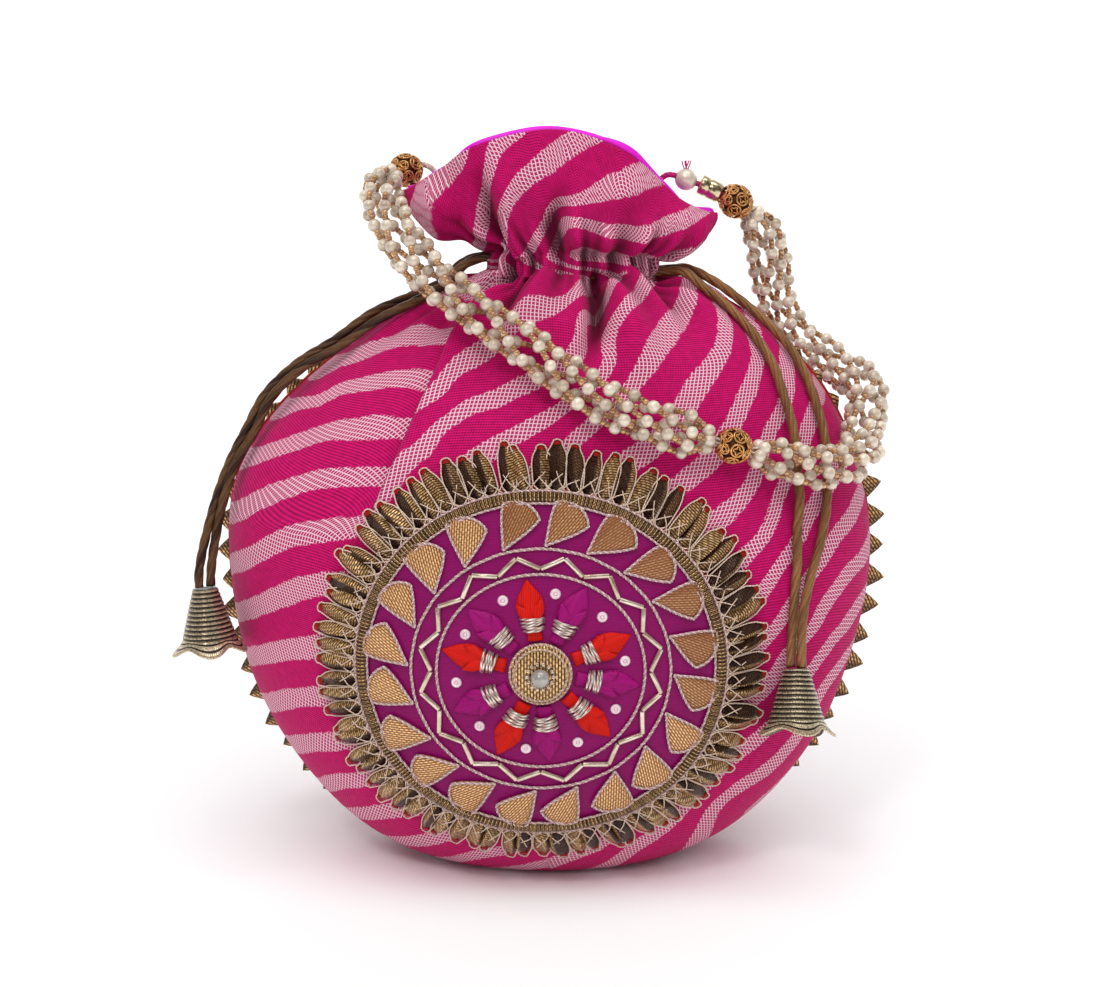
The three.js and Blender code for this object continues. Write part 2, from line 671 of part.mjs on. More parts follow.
// One ribbon petal, pinched where wire is wound over it.
function petalGeometry(k) {
  const angle = PETAL_START + (k / PETALS) * TURN;
  const at = (r, across) => [
    r * Math.cos(angle) - across * Math.sin(angle),
    r * Math.sin(angle) + across * Math.cos(angle),
  ];
  const widest = lerp(BINDING_RADIUS, PETAL_TIP_RADIUS, 0.42);
  const half = [
    [PETAL_ROOT_RADIUS, 1.6],
    [BINDING_RADIUS, 1.9],
    [widest - 2.2, PETAL_HALF_WIDTH * 0.92],
    [widest + 1.6, PETAL_HALF_WIDTH],
  ];
  const outline = [
    ...half.map(([r, w]) => at(r, -w)),
    at(PETAL_TIP_RADIUS, 0),
    ...half.map(([r, w]) => at(r, w)).reverse(),
  ];
  const ribbon = roof(outline, at(widest, 0), 0.7, PETAL_HEIGHT);
  const bar = (r0, r1, w, h) =>
    [at(r0, -w), at(r1, -w), at(r1, w), at(r0, w)].map(([u, v]) => onFront(u, v, ON_DISC + h));
  const near = BINDING_RADIUS - BINDING_WIDTH / 2;
  const far = BINDING_RADIUS + BINDING_WIDTH / 2;
  const binding = stack([
    bar(near, far, BINDING_LENGTH / 2, 0),
    bar(near, far, BINDING_LENGTH / 2, BINDING_HEIGHT * 0.5),
    bar(near + 0.5, far - 0.5, BINDING_LENGTH * 0.3, BINDING_HEIGHT),
  ]);
  return fromSolid(solid(ribbon).add(solid(binding)));
}

// The round button in the middle, with a ring of seeds on its crown and a pearl in the ring.
const lathe = (profile, sides) => {
  const made = new THREE.LatheGeometry(profile.map(([r, z]) => new THREE.Vector2(r, z)), sides);
  return fromSolid(solid(made.rotateX(Math.PI / 2)));
};
const buttonGeometry = lathe(
  [
    [0, 0],
    [BUTTON_RADIUS - 1, 0],
    [BUTTON_RADIUS, BUTTON_HEIGHT * 0.45],
    [BUTTON_RADIUS - 1.4, BUTTON_HEIGHT],
    [0, BUTTON_HEIGHT],
  ],
  16,
);
const seedRing = loop(
  range(2 * SEEDS).map((i) => {
    const a = (i / (2 * SEEDS)) * TURN;
    const half = i % 2 ? SEED_RADIUS : SEED_RADIUS * 0.55;
    const at = (r, z) => V(r * Math.cos(a), r * Math.sin(a), SEED_RADIUS + z);
    return [at(SEED_RING_RADIUS - half, -half), at(SEED_RING_RADIUS - half, half),
      at(SEED_RING_RADIUS + half, half), at(SEED_RING_RADIUS + half, -half)];
  }),
);

// Tassels

function tassel() {
  const sides = 4 * TASSEL_WAVES;
  const full = -(TASSEL_CONE_HEIGHT + TASSEL_FLARE_HEIGHT);
  const ring = (r, z, wave) =>
    anglesOf(sides).map((a) => {
      const w = Math.cos(TASSEL_WAVES * a);
      return V((r + wave * w) * Math.cos(a), (r + wave * w) * Math.sin(a), z + wave * w);
    });
  const cone = TASSEL_CONE_RADIUS;
  const inner = cone - TASSEL_WALL;
  const innerTop = TASSEL_TOP_RADIUS - TASSEL_WALL;
  return stack([
    ring(innerTop, -TASSEL_CAP, 0),
    ring(inner, -TASSEL_CONE_HEIGHT, 0),
    ring(TASSEL_FLARE_RADIUS - TASSEL_WALL * 0.6, full, TASSEL_WAVE_DEPTH),
    ring(TASSEL_FLARE_RADIUS, full + TASSEL_WALL * 0.6, TASSEL_WAVE_DEPTH),
    ring(cone, -TASSEL_CONE_HEIGHT, 0),
    ring(TASSEL_TOP_RADIUS + 0.3, -1, 0),
    ring(TASSEL_TOP_RADIUS, 0, 0),
  ]);
}

// Where each tassel hangs.
const LEFT_TASSEL = { top: [-104.9, -18.6, 91.2], foot: [-103.6, -19.8, 73] };
const RIGHT_TASSEL = { top: [73.6, -39.5, 71.6], foot: [73.4, -44.9, 54.2] };

const aboveTop = ({ top, foot }) => range(3).map((i) => 2 * top[i] - foot[i]);

// Drawstrings

const CORD_BEND_DEG = 14;
const CORD_SIDES = 6;

const cordCurve = (points) => new THREE.CatmullRomCurve3(points.map(([x, y, z]) => V(x, y, z)), false, "centripetal");

// The places along a cord where its polygon bends: short steps where the curve is tight, and long ones elsewhere.
function bendPlaces(curve, longest) {
  const fine = 400;
  const step = curve.getLength() / fine;
  const heading = range(fine + 1).map((i) => curve.getTangentAt(i / fine));
  const places = [0];
  let turned = 0;
  let run = 0;
  range(fine).forEach((i) => {
    turned += heading[i].angleTo(heading[i + 1]);
    run += step;
    if (i < fine - 2 && (turned > CORD_BEND_DEG * RAD || run > longest)) {
      places.push((i + 1) / fine);
      turned = 0;
      run = 0;
    }
  });
  return [...places, 1];
}

function cordGeometry(points, diameter, longest) {
  const curve = cordCurve(points);
  const fine = 800;
  const frames = framesAlong(curve, fine);
  const ring = ({ p, n, b }) =>
    anglesOf(CORD_SIDES).map((a) =>
      p
        .clone()
        .addScaledVector(n, (diameter / 2) * Math.cos(a))
        .addScaledVector(b, (diameter / 2) * Math.sin(a)),
    );
  return stack(bendPlaces(curve, longest).map((u) => ring(frames[Math.round(u * fine)])));
}

// Level frames along a curve, turning about it as little as they can.
function framesAlong(curve, steps) {
  const points = curve.getSpacedPoints(steps);
  const { normals, binormals } = curve.computeFrenetFrames(steps, false);
  return points.map((p, i) => ({ p, n: normals[i], b: binormals[i] }));
}

// The part of a drawstring that is hidden in the casing: all the way round, from one side of its slit to the other.
function casingStretch(side, z) {
  const t = 1 + (z - CASING_BOTTOM) / CASING_HEIGHT;
  return range(13).map((i) => {
    const angle = (side < 0 ? Math.PI : 0) + lerp(38, 322, i / 12) * RAD;
    const p = clothPoint(angle, t, -(WALL + CASING_ROOM / 2));
    return [p.x, p.y, z];
  });
}

const leftDrawstring = [
  [-103.3, -17.6, 91.7],
  [-103.2, -17.2, 95.6],
  [-102.4, -16.4, 102],
  [-100.8, -15.2, 110.6],
  [-98.6, -14, 119.6],
  [-95.2, -13, 129],
  [-88.5, -11.4, 137],
  [-83.6, -12, 148.6],
  [-74, -11.8, 157.4],
  [-62.2, -11.3, 162.7],
  [-50.6, -10.4, 171.4],
  [-40.5, -9.3, 177.8],
  [-31.5, -7.9, 182.8],
  [-25.5, -6.4, 188.6],
  [-19.9, -4.4, 190.6],
  ...casingStretch(-1, LEFT_CORD_HEIGHT),
  [-19.9, 2.4, 190.6],
  [-26, 1.6, 188.8],
  [-32.8, -0.8, 182.8],
  [-42.3, -2.1, 177.8],
  [-54, -5, 174.6],
  [-65.6, -6.4, 167],
  [-77, -7.2, 158.6],
  [-87, -8, 149],
  [-94, -9, 139],
  [-98.4, -10.6, 129.4],
  [-101.8, -12.4, 119.6],
  [-104, -14.6, 110],
  [-106, -17, 101],
  [-106.6, -18.9, 95.4],
  [-106.5, -19.6, 91.7],
];

const rightDrawstring = [
  [71.9, -39.6, 72.3],
  [72.1, -38.8, 78],
  [72.5, -38, 86],
  [72.9, -37.5, 94.7],
  [73.4, -37.7, 103.7],
  [73.4, -35.9, 113],
  [74.1, -34.6, 121.6],
  [73.6, -31.7, 129.6],
  [73.2, -30.2, 137.1],
  [71.7, -27.4, 145],
  [69.3, -24.2, 153],
  [66.9, -21.6, 159.9],
  [63.4, -18.2, 165.9],
  [58.9, -15.1, 171.7],
  [53.1, -12, 177.2],
  [47.5, -10.2, 181.3],
  [41, -7.2, 186.4],
  [35.6, -4.4, 186.4],
  ...casingStretch(1, RIGHT_CORD_HEIGHT).reverse(),
  [35.6, 2.4, 186.4],
  [42, 1.8, 186.8],
  [50.7, -1.4, 182.9],
  [58.2, -3.6, 177.6],
  [65.2, -7, 172],
  [71.8, -10.2, 165.2],
  [76.9, -13.9, 157.1],
  [80.6, -17.7, 147.2],
  [82.6, -21.6, 138.5],
  [83.1, -24.6, 129.2],
  [83.1, -28.1, 118.9],
  [82.5, -31, 108.4],
  [80.6, -33.8, 99],
  [78.8, -36, 89.6],
  [77, -38, 80.6],
  [75.3, -39.4, 72.3],
];

// Handle

// The handle's middle line, from the ball at the mouth's right end, down behind the right shoulder and round to the
// front, then up to the ball at the mouth's left end.
const handleRight = [
  [56.9, 4, 207],
  [65, 9, 198.6],
  [68.6, 15, 187.6],
  [70.6, 19, 176.4],
  [75, 20, 166.6],
  [81.7, 17.8, 160.1],
  [90.1, 11, 155.3],
  [97.7, -1.6, 149.5],
  [95.5, -11.3, 142],
  [92.3, -26.4, 134.9],
  [82.2, -38.2, 132.5],
  [67.8, -41.4, 134.9],
  [53.3, -45.6, 139.9],
];
const handleLeft = [
  [53.3, -45.6, 139.9],
  [37.8, -48, 144.2],
  [23.3, -48.5, 149.4],
  [8.9, -46.8, 157],
  [-4.9, -42, 166.6],
  [-16.6, -36.6, 174.2],
  [-27.1, -32, 181.3],
  [-36.7, -25, 188.8],
  [-44.2, -17, 198.1],
  [-49.4, -8, 207],
  [-48.6, 3, 214],
  [-43.9, 10, 216],
];
// The sewn end of each side: up from the lining inside the mouth, over its edge, to just inside the ball.
const rightPearlAt = [41.7, 4, 213.6];
const rightTubeAt = [49, 4, 210.8];
const rightCore = [
  [34.6, 3, 199.5],
  [32.6, 4, 205.5],
  [32.8, 4.8, 211.6],
  [36, 4.4, 215],
  rightPearlAt,
  rightTubeAt,
  [55.7, 4, 207.6],
];
const leftCore = [
  [-26.5, 9.9, 203.5],
  [-30, 10.6, 209],
  [-34, 13, 214.4],
  [-38, 15, 217.4],
  [-41.2, 14, 217.3],
  [-43.2, 11, 216.3],
];
const rightBallAt = handleRight[0];
const middleBallAt = handleLeft[0];
const leftBallAt = handleLeft[handleLeft.length - 1];

// One strand of pearls. It runs round the handle's middle line, and is bare thread inside each ball.
function strandGeometry(k) {
  const sections = [];
  const phase = (k / STRANDS) * TURN;
  [handleRight, handleLeft].forEach((route, part) => {
    const curve = cordCurve(route);
    const length = curve.getLength();
    const inBall = BALL_RADIUS + 0.4;
    const steps = 2 * Math.round((length - 2 * inBall) / PEARL_PITCH);
    const frames = framesAlong(curve, 800);
    const places = range(steps + 1).map((i) => lerp(inBall, length - inBall, i / steps) / length);
    if (part === 0) places.unshift(THREADS_START / length);
    if (part === 1) places.push(1 - THREADS_START / length);
    places.forEach((share, i) => {
      const f = frames[Math.round(share * 800)];
      const along = share * length;
      const spread = clamp((Math.min(along, length - along) - inBall) / SPREAD_LENGTH, 0, 1);
      const radius = lerp(THREADS_RADIUS, BUNDLE_RADIUS, Math.sin((spread * Math.PI) / 2));
      const angle = phase + (part + share) * BUNDLE_TWIST_TURNS * TURN;
      const pearl = (i - (part === 0 ? 1 : 0)) % 2 === 1;
      const full = (pearl ? PEARL_DIAMETER : SPACER_DIAMETER) / 2;
      const r = spread <= 0 ? THREAD_DIAMETER / 2 : Math.min(full, radius / 2 - CLEARANCE);
      const centre = f.p
        .clone()
        .addScaledVector(f.n, radius * Math.cos(angle))
        .addScaledVector(f.b, radius * Math.sin(angle));
      sections.push(
        anglesOf(4).map((a) =>
          centre
            .clone()
            .addScaledVector(f.n, r * Math.cos(a))
            .addScaledVector(f.b, r * Math.sin(a)),
        ),
      );
    });
  });
  return stack(sections);
}

// A bead with a bore along its own z, from its half section [radius, height], put at `at` facing `towards`.
function beadGeometry(half, bore, sides, at, towards) {
  const top = half[half.length - 1][1];
  const bottom = half[0][1];
  return turned(lathe([...half, [bore, top], [bore, bottom], half[0]], sides), at, towards);
}

// The half section of a ball whose ends are cut flat where its bore comes out.
function ballSection(radius, bore, rows) {
  const reach = Math.sqrt(radius ** 2 - (bore + 0.3) ** 2);
  return range(rows + 1).map((i) => {
    const z = lerp(-reach, reach, i / rows);
    return [Math.sqrt(radius ** 2 - z ** 2), z];
  });
}

// A hollow ball with a hole at each end, facing from `before` to `after` as the threads do.
function ballGeometry(at, before, after) {
  const arc = (radius) => {
    const reach = Math.sqrt(radius ** 2 - BALL_BORE_RADIUS ** 2);
    return range(7).map((i) => {
      const z = lerp(-reach, reach, i / 6);
      return [Math.sqrt(radius ** 2 - z ** 2), z];
    });
  };
  const outside = arc(BALL_RADIUS);
  const ball = lathe([...outside, ...arc(BALL_RADIUS - BALL_WALL).reverse(), outside[0]], 12);
  const ahead = V(...after).sub(V(...at)).normalize();
  const behind = V(...at).sub(V(...before)).normalize();
  const towards = V(...at).add(ahead).add(behind);
  return turned(ball, at, [towards.x, towards.y, towards.z]);
}

function turned(geometry, at, towards) {
  const along = V(...towards).sub(V(...at)).normalize();
  const turn = new THREE.Quaternion().setFromUnitVectors(V(0, 0, 1), along);
  return geometry.applyQuaternion(turn).translate(...at);
}

// Assembly

const bag = new THREE.Group();

function part(name, geometry, material) {
  const mesh = new THREE.Mesh(geometry, material);
  mesh.name = name;
  bag.add(mesh);
  return mesh;
}

part("front_panel", frontPanel, stripedCloth);
part("back_panel", backPanel, stripedCloth);
part("lining", liningShell(), liningSatin);
part("seam_trim", seamTrim(), goldRibbon);
part("roundel_disc", satinDisc, roundelSatin);
part("roundel_frill", frillGeometry(), goldRibbon);
part("roundel_braid", braidRing, goldRibbon);
part("vine_cord", vineCord, silverThread);
part("inner_cord", innerCord, silverThread);
part("bugle_beads", bugleRing, silverThread);
range(LEAVES).forEach((k) => part(`leaf_${k + 1}`, leafGeometry(k), goldRibbon));
range(PETALS).forEach((k) => part(`petal_${k + 1}`, petalGeometry(k), k % 2 ? magentaRibbon : redRibbon));
seat(part("centre_button", buttonGeometry, goldRibbon), 0, 0, ON_DISC);
seat(part("seed_ring", seedRing, silverThread), 0, 0, ON_DISC + BUTTON_HEIGHT + CLEARANCE);
const pearlGeometry = (radius) => new THREE.SphereGeometry(radius, 10, 6);
const pearlHeight = ON_DISC + BUTTON_HEIGHT + CLEARANCE + CENTRE_PEARL_RADIUS;
seat(part("centre_pearl", pearlGeometry(CENTRE_PEARL_RADIUS), pearlWhite), 0, 0, pearlHeight);

part("drawstring_left", cordGeometry(leftDrawstring, CORD_DIAMETER, 12), goldCord);
part("drawstring_right", cordGeometry(rightDrawstring, CORD_DIAMETER, 12), goldCord);
part("tassel_left", turned(tassel(), LEFT_TASSEL.top, aboveTop(LEFT_TASSEL)), goldRibbon);
part("tassel_right", turned(tassel(), RIGHT_TASSEL.top, aboveTop(RIGHT_TASSEL)), goldRibbon);

range(STRANDS).forEach((k) => part(`pearl_strand_${k + 1}`, strandGeometry(k), pearlWhite));
part("ball_right", ballGeometry(rightBallAt, rightTubeAt, handleRight[1]), filigreeGold);
part("ball_middle", ballGeometry(middleBallAt, handleRight[handleRight.length - 2], handleLeft[1]), filigreeGold);
part("ball_left", ballGeometry(leftBallAt, leftCore[4], handleLeft[handleLeft.length - 2]), filigreeGold);
const tubeShape = [
  [END_TUBE_RADIUS - 0.5, -END_TUBE_LENGTH / 2],
  [END_TUBE_RADIUS, -END_TUBE_LENGTH / 2 + 1],
  [END_TUBE_RADIUS, END_TUBE_LENGTH / 2 - 1],
  [END_TUBE_RADIUS - 0.5, END_TUBE_LENGTH / 2],
];
const pearlShape = ballSection(END_PEARL_RADIUS, END_BORE_RADIUS, 4);
part("end_pearl_right", beadGeometry(pearlShape, END_BORE_RADIUS, 10, rightPearlAt, rightTubeAt), pearlWhite);
part("end_tube_right", beadGeometry(tubeShape, END_BORE_RADIUS, 10, rightTubeAt, rightBallAt), goldRibbon);
part("end_core_right", cordGeometry(rightCore, END_CORE_DIAMETER, 8), silverThread);
part("end_core_left", cordGeometry(leftCore, END_CORE_DIAMETER, 8), silverThread);

export default bag;
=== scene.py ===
"""A potli bag: a round gathered drawstring pouch of striped cloth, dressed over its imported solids.

Sizes are in millimetres until a mesh is made, where they become metres. +X is the bag's right seen from the front,
-Y is its front and +Z is up. The origin is on the flat base, under the middle of the neck.
"""

from __future__ import annotations

import logging
import math
from dataclasses import dataclass
from enum import Enum
from typing import Any, Sequence

import bmesh
import bpy
import numpy as np
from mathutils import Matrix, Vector

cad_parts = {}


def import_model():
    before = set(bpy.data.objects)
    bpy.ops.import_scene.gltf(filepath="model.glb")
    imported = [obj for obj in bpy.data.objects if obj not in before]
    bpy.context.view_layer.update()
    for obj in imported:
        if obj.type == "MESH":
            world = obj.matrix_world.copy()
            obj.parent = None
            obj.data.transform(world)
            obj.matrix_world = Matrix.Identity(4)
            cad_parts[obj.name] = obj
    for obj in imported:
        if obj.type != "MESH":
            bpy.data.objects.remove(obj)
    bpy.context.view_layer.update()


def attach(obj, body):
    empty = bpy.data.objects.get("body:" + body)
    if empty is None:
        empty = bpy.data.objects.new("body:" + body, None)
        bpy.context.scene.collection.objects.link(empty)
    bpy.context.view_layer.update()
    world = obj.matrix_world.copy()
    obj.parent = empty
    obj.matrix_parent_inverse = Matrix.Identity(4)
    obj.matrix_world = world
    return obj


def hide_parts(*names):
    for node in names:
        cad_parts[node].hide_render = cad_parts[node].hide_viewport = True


LOG = logging.getLogger("potli_bag")
MM = 0.001
TAU = 2 * math.pi
Colour = tuple[float, float, float, float]


def srgb(red: int, green: int, blue: int) -> Colour:
    """A screen colour, 0 to 255, as the linear colour that a shader takes.

    Args:
        red: The red part.
        green: The green part.
        blue: The blue part.

    Returns:
        The linear colour with full alpha.
    """
    parts = [c / 255 for c in (red, green, blue)]
    linear = [c / 12.92 if c <= 0.04045 else ((c + 0.055) / 1.055) ** 2.4 for c in parts]
    return (linear[0], linear[1], linear[2], 1.0)


def smooth(x: Any, low: float, high: float) -> np.ndarray:
    """0 below low, 1 above high, and a soft step between."""
    share = np.clip((np.asarray(x, float) - low) / (high - low), 0, 1)
    return share * share * (3 - 2 * share)


def unit(v: np.ndarray) -> np.ndarray:
    """Each vector at length one."""
    return v / np.maximum(np.linalg.norm(v, axis=-1, keepdims=True), 1e-12)


def stack(*parts: Any) -> np.ndarray:
    """Arrays of x, y and z, or of u and v, as one array of points."""
    return np.stack(np.broadcast_arrays(*parts), axis=-1).astype(float)


def along(line: np.ndarray) -> np.ndarray:
    """How far along a line each of its points is."""
    return np.concatenate([[0], np.cumsum(np.linalg.norm(np.diff(line, axis=0), axis=1))])


def respaced(line: np.ndarray, step: float) -> np.ndarray:
    """A line again, with even steps.

    Args:
        line: The points of the line.
        step: The step to aim at.

    Returns:
        The new points, with the same two ends.
    """
    at = along(line)
    new = np.linspace(0, at[-1], max(2, round(at[-1] / step) + 1))
    return np.stack([np.interp(new, at, line[:, k]) for k in range(line.shape[1])], axis=1)


def curve(points: Sequence[Sequence[float]], step: float) -> np.ndarray:
    """A smooth curve through points, as even steps along it.

    Args:
        points: The points to pass through, three numbers each.
        step: The step between the points of the result.

    Returns:
        The points of the curve.
    """
    p = np.array(points, float)
    p = np.vstack([2 * p[0] - p[1], p, 2 * p[-1] - p[-2]])
    share = np.linspace(0, 1, 24, endpoint=False)[:, None]
    made = []
    for a, b, c, d in zip(p, p[1:], p[2:], p[3:]):
        d0, d1, d2 = (max(np.linalg.norm(y - x) ** 0.5, 1e-4) for x, y in ((a, b), (b, c), (c, d)))
        start = ((b - a) / d0 - (c - a) / (d0 + d1) + (c - b) / d1) * d1
        end = ((c - b) / d1 - (d - b) / (d1 + d2) + (d - c) / d2) * d1
        square, cube = -3 * b + 3 * c - 2 * start - end, 2 * b - 2 * c + start + end
        made.append(b + share * (start + share * (square + share * cube)))
    return respaced(np.vstack([*made, p[-2:-1]]), step)


def carried(line: np.ndarray) -> tuple[np.ndarray, np.ndarray]:
    """Two directions square to a line, which turn about it as little as they can.

    Args:
        line: The points of the line.

    Returns:
        The first and the second direction at each point.
    """
    tangent = unit(np.gradient(line, axis=0))
    first = np.zeros(3)
    first[int(np.argmin(np.abs(tangent[0])))] = 1
    side = unit(np.cross(tangent[0], first))
    normal = np.cross(tangent[0], side)
    normals = [normal]
    for before, after in zip(tangent, tangent[1:]):
        axis = np.cross(before, after)
        size = np.linalg.norm(axis)
        if size > 1e-9:
            turn = math.atan2(size, float(before @ after))
            axis = axis / size
            normal = (
                normal * math.cos(turn)
                + np.cross(axis, normal) * math.sin(turn)
                + axis * (axis @ normal) * (1 - math.cos(turn))
            )
        normal = unit(normal - after * (normal @ after))
        normals.append(normal)
    first_side = np.array(normals)
    return first_side, np.cross(tangent, first_side)


# Shaders


class Signal:
    """A value that a shader node puts out. Arithmetic on it adds Math nodes."""

    def __init__(self, shade: "Shade", socket: bpy.types.NodeSocket) -> None:
        """Wraps a node's output socket, in the shader that the node is in."""
        self.shade = shade
        self.socket = socket

    def _math(self, operation: str, *values: Any) -> "Signal":
        """One Math node on these values."""
        return self.shade.node("ShaderNodeMath", {"operation": operation}, dict(enumerate(values)))

    def __add__(self, other: Any) -> "Signal":
        """self + other."""
        return self._math("ADD", self, other)

    def __radd__(self, other: Any) -> "Signal":
        """other + self."""
        return self._math("ADD", other, self)

    def __sub__(self, other: Any) -> "Signal":
        """self - other."""
        return self._math("SUBTRACT", self, other)

    def __rsub__(self, other: Any) -> "Signal":
        """other - self."""
        return self._math("SUBTRACT", other, self)

    def __mul__(self, other: Any) -> "Signal":
        """self * other."""
        return self._math("MULTIPLY", self, other)

    def __rmul__(self, other: Any) -> "Signal":
        """other * self."""
        return self._math("MULTIPLY", other, self)

    def __truediv__(self, other: Any) -> "Signal":
        """self / other."""
        return self._math("DIVIDE", self, other)

    def __pow__(self, other: Any) -> "Signal":
        """self ** other."""
        return self._math("POWER", self, other)

    def sine(self) -> "Signal":
        """A wave from 0 to 1, with one crest for each whole number."""
        return self._math("SINE", self * TAU) * 0.5 + 0.5

    def fraction(self) -> "Signal":
        """What is left over a whole number."""
        return self._math("FRACT", self)

    def size(self) -> "Signal":
        """The value without its sign."""
        return self._math("ABSOLUTE", self)

    def higher(self, other: Any) -> "Signal":
        """The larger of two values."""
        return self._math("MAXIMUM", self, other)

    def step(self, low: float, high: float) -> "Signal":
        """0 below low, 1 above high and a soft step between."""
        settings = {"interpolation_type": "SMOOTHSTEP"}
        return self.shade.node("ShaderNodeMapRange", settings, {"Value": self, "From Min": low, "From Max": high})


class Shade:
    """One material's node tree, round one shader."""

    def __init__(self, name: str, **constants: Any) -> None:
        """Starts a material.

        Args:
            name: The material's name.
            **constants: The shader's own constant sockets, with _ for a space.
        """
        self.material = bpy.data.materials.new(f"{name}_finish")
        self.material.use_nodes = True
        self.tree = self.material.node_tree
        self.shader = next(n for n in self.tree.nodes if n.type == "BSDF_PRINCIPLED")
        for key, value in constants.items():
            self.shader.inputs[key.replace("_", " ")].default_value = value

    def node(self, kind: str, settings: dict | None = None, sockets: dict | None = None, output: Any = 0) -> Signal:
        """Adds one node.

        Args:
            kind: The node's type.
            settings: Its settings, set first. "stops" are a ramp's places and colours.
            sockets: The values or links of its inputs, by name or number.
            output: Which output to give, by name or number.

        Returns:
            The output.
        """
        made = self.tree.nodes.new(kind)
        for name, value in (settings or {}).items():
            if name != "stops":
                setattr(made, name, value)
                continue
            while len(made.color_ramp.elements) < len(value):
                made.color_ramp.elements.new(0.5)
            for element, (place, colour) in zip(made.color_ramp.elements, value):
                element.position, element.color = place, colour
        for key, value in (sockets or {}).items():
            if isinstance(value, Signal):
                self.tree.links.new(value.socket, made.inputs[key])
            else:
                made.inputs[key].default_value = value
        return Signal(self, made.outputs[output])

    def value(self, name: str) -> Signal:
        """A number that the mesh's points carry."""
        return self.node("ShaderNodeAttribute", {"attribute_name": name}, output="Fac")

    def weave(self) -> tuple[Signal, Signal, Signal]:
        """The two thread coordinates in millimetres, and both as one vector.

        Returns:
            The first coordinate, the second one and the vector.
        """
        both = self.node("ShaderNodeAttribute", {"attribute_name": "weave"}, output="Vector")
        split = self.node("ShaderNodeSeparateXYZ", None, {0: both})
        return split, Signal(self, split.socket.node.outputs[1]), both

    def place(self) -> Signal:
        """The place in the object's own frame, in metres."""
        return self.node("ShaderNodeTexCoord", None, None, "Object")

    def noise(self, vector: Signal, scale: float, detail: float = 2.0) -> Signal:
        """A soft random value from 0 to 1, read at a vector, with its fineness and its number of finer layers."""
        sockets = {"Vector": vector, "Scale": scale, "Detail": detail}
        return self.node("ShaderNodeTexNoise", None, sockets, "Fac")

    def mix(self, share: Any, first: Any, second: Any) -> Signal:
        """Two colours, mixed by share."""
        return self.node("ShaderNodeMix", {"data_type": "RGBA"}, {0: share, 6: first, 7: second}, 2)

    def bump(self, height: Signal, distance: float, strength: float = 1.0) -> Signal:
        """A normal from a height of 0 to 1, with its real size in millimetres and how much of it shows."""
        sockets = {"Height": height, "Distance": distance * MM, "Strength": strength}
        return self.node("ShaderNodeBump", None, sockets, "Normal")

    def done(self, **links: Signal) -> bpy.types.Material:
        """Links what varies into the shader.

        Args:
            **links: The shader's sockets, with _ for a space.

        Returns:
            The finished material.
        """
        for key, value in links.items():
            self.tree.links.new(value.socket, self.shader.inputs[key.replace("_", " ")])
        return self.material


# Finishes


@dataclass(frozen=True)
class StripedCloth:
    """Thin open-weave cloth dyed in wavy slanting stripes, deep pink and nearly white."""

    name: str = "striped_cloth"
    deep: Colour = srgb(216, 10, 114)
    deep_gap: Colour = srgb(132, 0, 56)
    pale: Colour = srgb(242, 204, 216)
    pale_gap: Colour = srgb(172, 38, 96)
    # Painted shade: the colour the cloth is darkened towards in its gathers and folds.
    painted_crease_shade: Colour = srgb(60, 0, 18)
    thread_pitch: float = 1.2
    deep_pitch: float = 0.8
    pale_share: float = 0.425

    def material(self) -> bpy.types.Material:
        """The finish as a material.

        Returns:
            The material.
        """
        s = Shade(self.name, Sheen_Weight=0.04, Sheen_Roughness=0.5, Specular_IOR_Level=0.12)
        u, v, both = s.weave()
        drift = s.noise(both, 0.045, 2) - 0.5
        ragged = s.noise(both, 0.5, 1) - 0.5
        phase = s.value("stripe") + drift * 0.16 + ragged * 0.09
        off = ((phase.fraction()) - 0.5).size()
        edge = 0.5 - self.pale_share / 2
        pale = off.step(edge - 0.018, edge + 0.018)
        warp = (u / self.thread_pitch + drift * 0.8).sine()
        weft = (v / self.thread_pitch + drift * 0.8).sine()
        open_weave = warp.higher(weft * 0.94).step(0.68, 1.0)
        close = ((u / self.deep_pitch).sine() * 0.35 + (v / self.deep_pitch).sine() * 0.65).step(0.1, 0.85)
        deep = s.mix(close * 0.75 + ragged * 0.5 + 0.1, self.deep_gap, self.deep)
        light = s.mix(open_weave, self.pale_gap, self.pale)
        # The tone mixes in the painted shade of the gathers and folds.
        colour = s.mix(s.value("tone"), s.mix(pale, deep, light), self.painted_crease_shade)
        height = open_weave * pale + close * (1 - pale) * 0.8 + ragged * 0.4
        return s.done(
            Base_Color=colour,
            Roughness=0.82 - pale * 0.12 - close * 0.08,
            Normal=s.bump(height, 0.16, 0.55),
        )


@dataclass(frozen=True)
class Satin:
    """Smooth ribbon or lining satin with fine ribs along one thread."""

    name: str
    colour: Colour
    shadow: Colour
    rib_pitch: float = 0.5
    rib_depth: float = 0.05
    roughness: float = 0.42
    sheen: float = 0.15

    def material(self) -> bpy.types.Material:
        """The finish as a material.

        Returns:
            The material.
        """
        s = Shade(self.name, Sheen_Weight=self.sheen, Sheen_Roughness=0.35, Specular_IOR_Level=0.16)
        u, v, both = s.weave()
        ribs = (v / self.rib_pitch).sine()
        drawn = s.node("ShaderNodeVectorMath", {"operation": "MULTIPLY"}, {0: both, 1: (0.25, 3.0, 1.0)})
        slub = s.noise(drawn, 0.9, 2)
        shade = ribs * 0.35 + slub * 0.65
        return s.done(
            Base_Color=s.mix(shade.step(0.15, 0.75), self.shadow, self.colour),
            Roughness=self.roughness + slub * 0.16 - ribs * 0.06,
            Normal=s.bump(ribs * 0.7 + slub * 0.3 + (u / 0.4).sine() * 0.1, self.rib_depth, 0.6),
        )


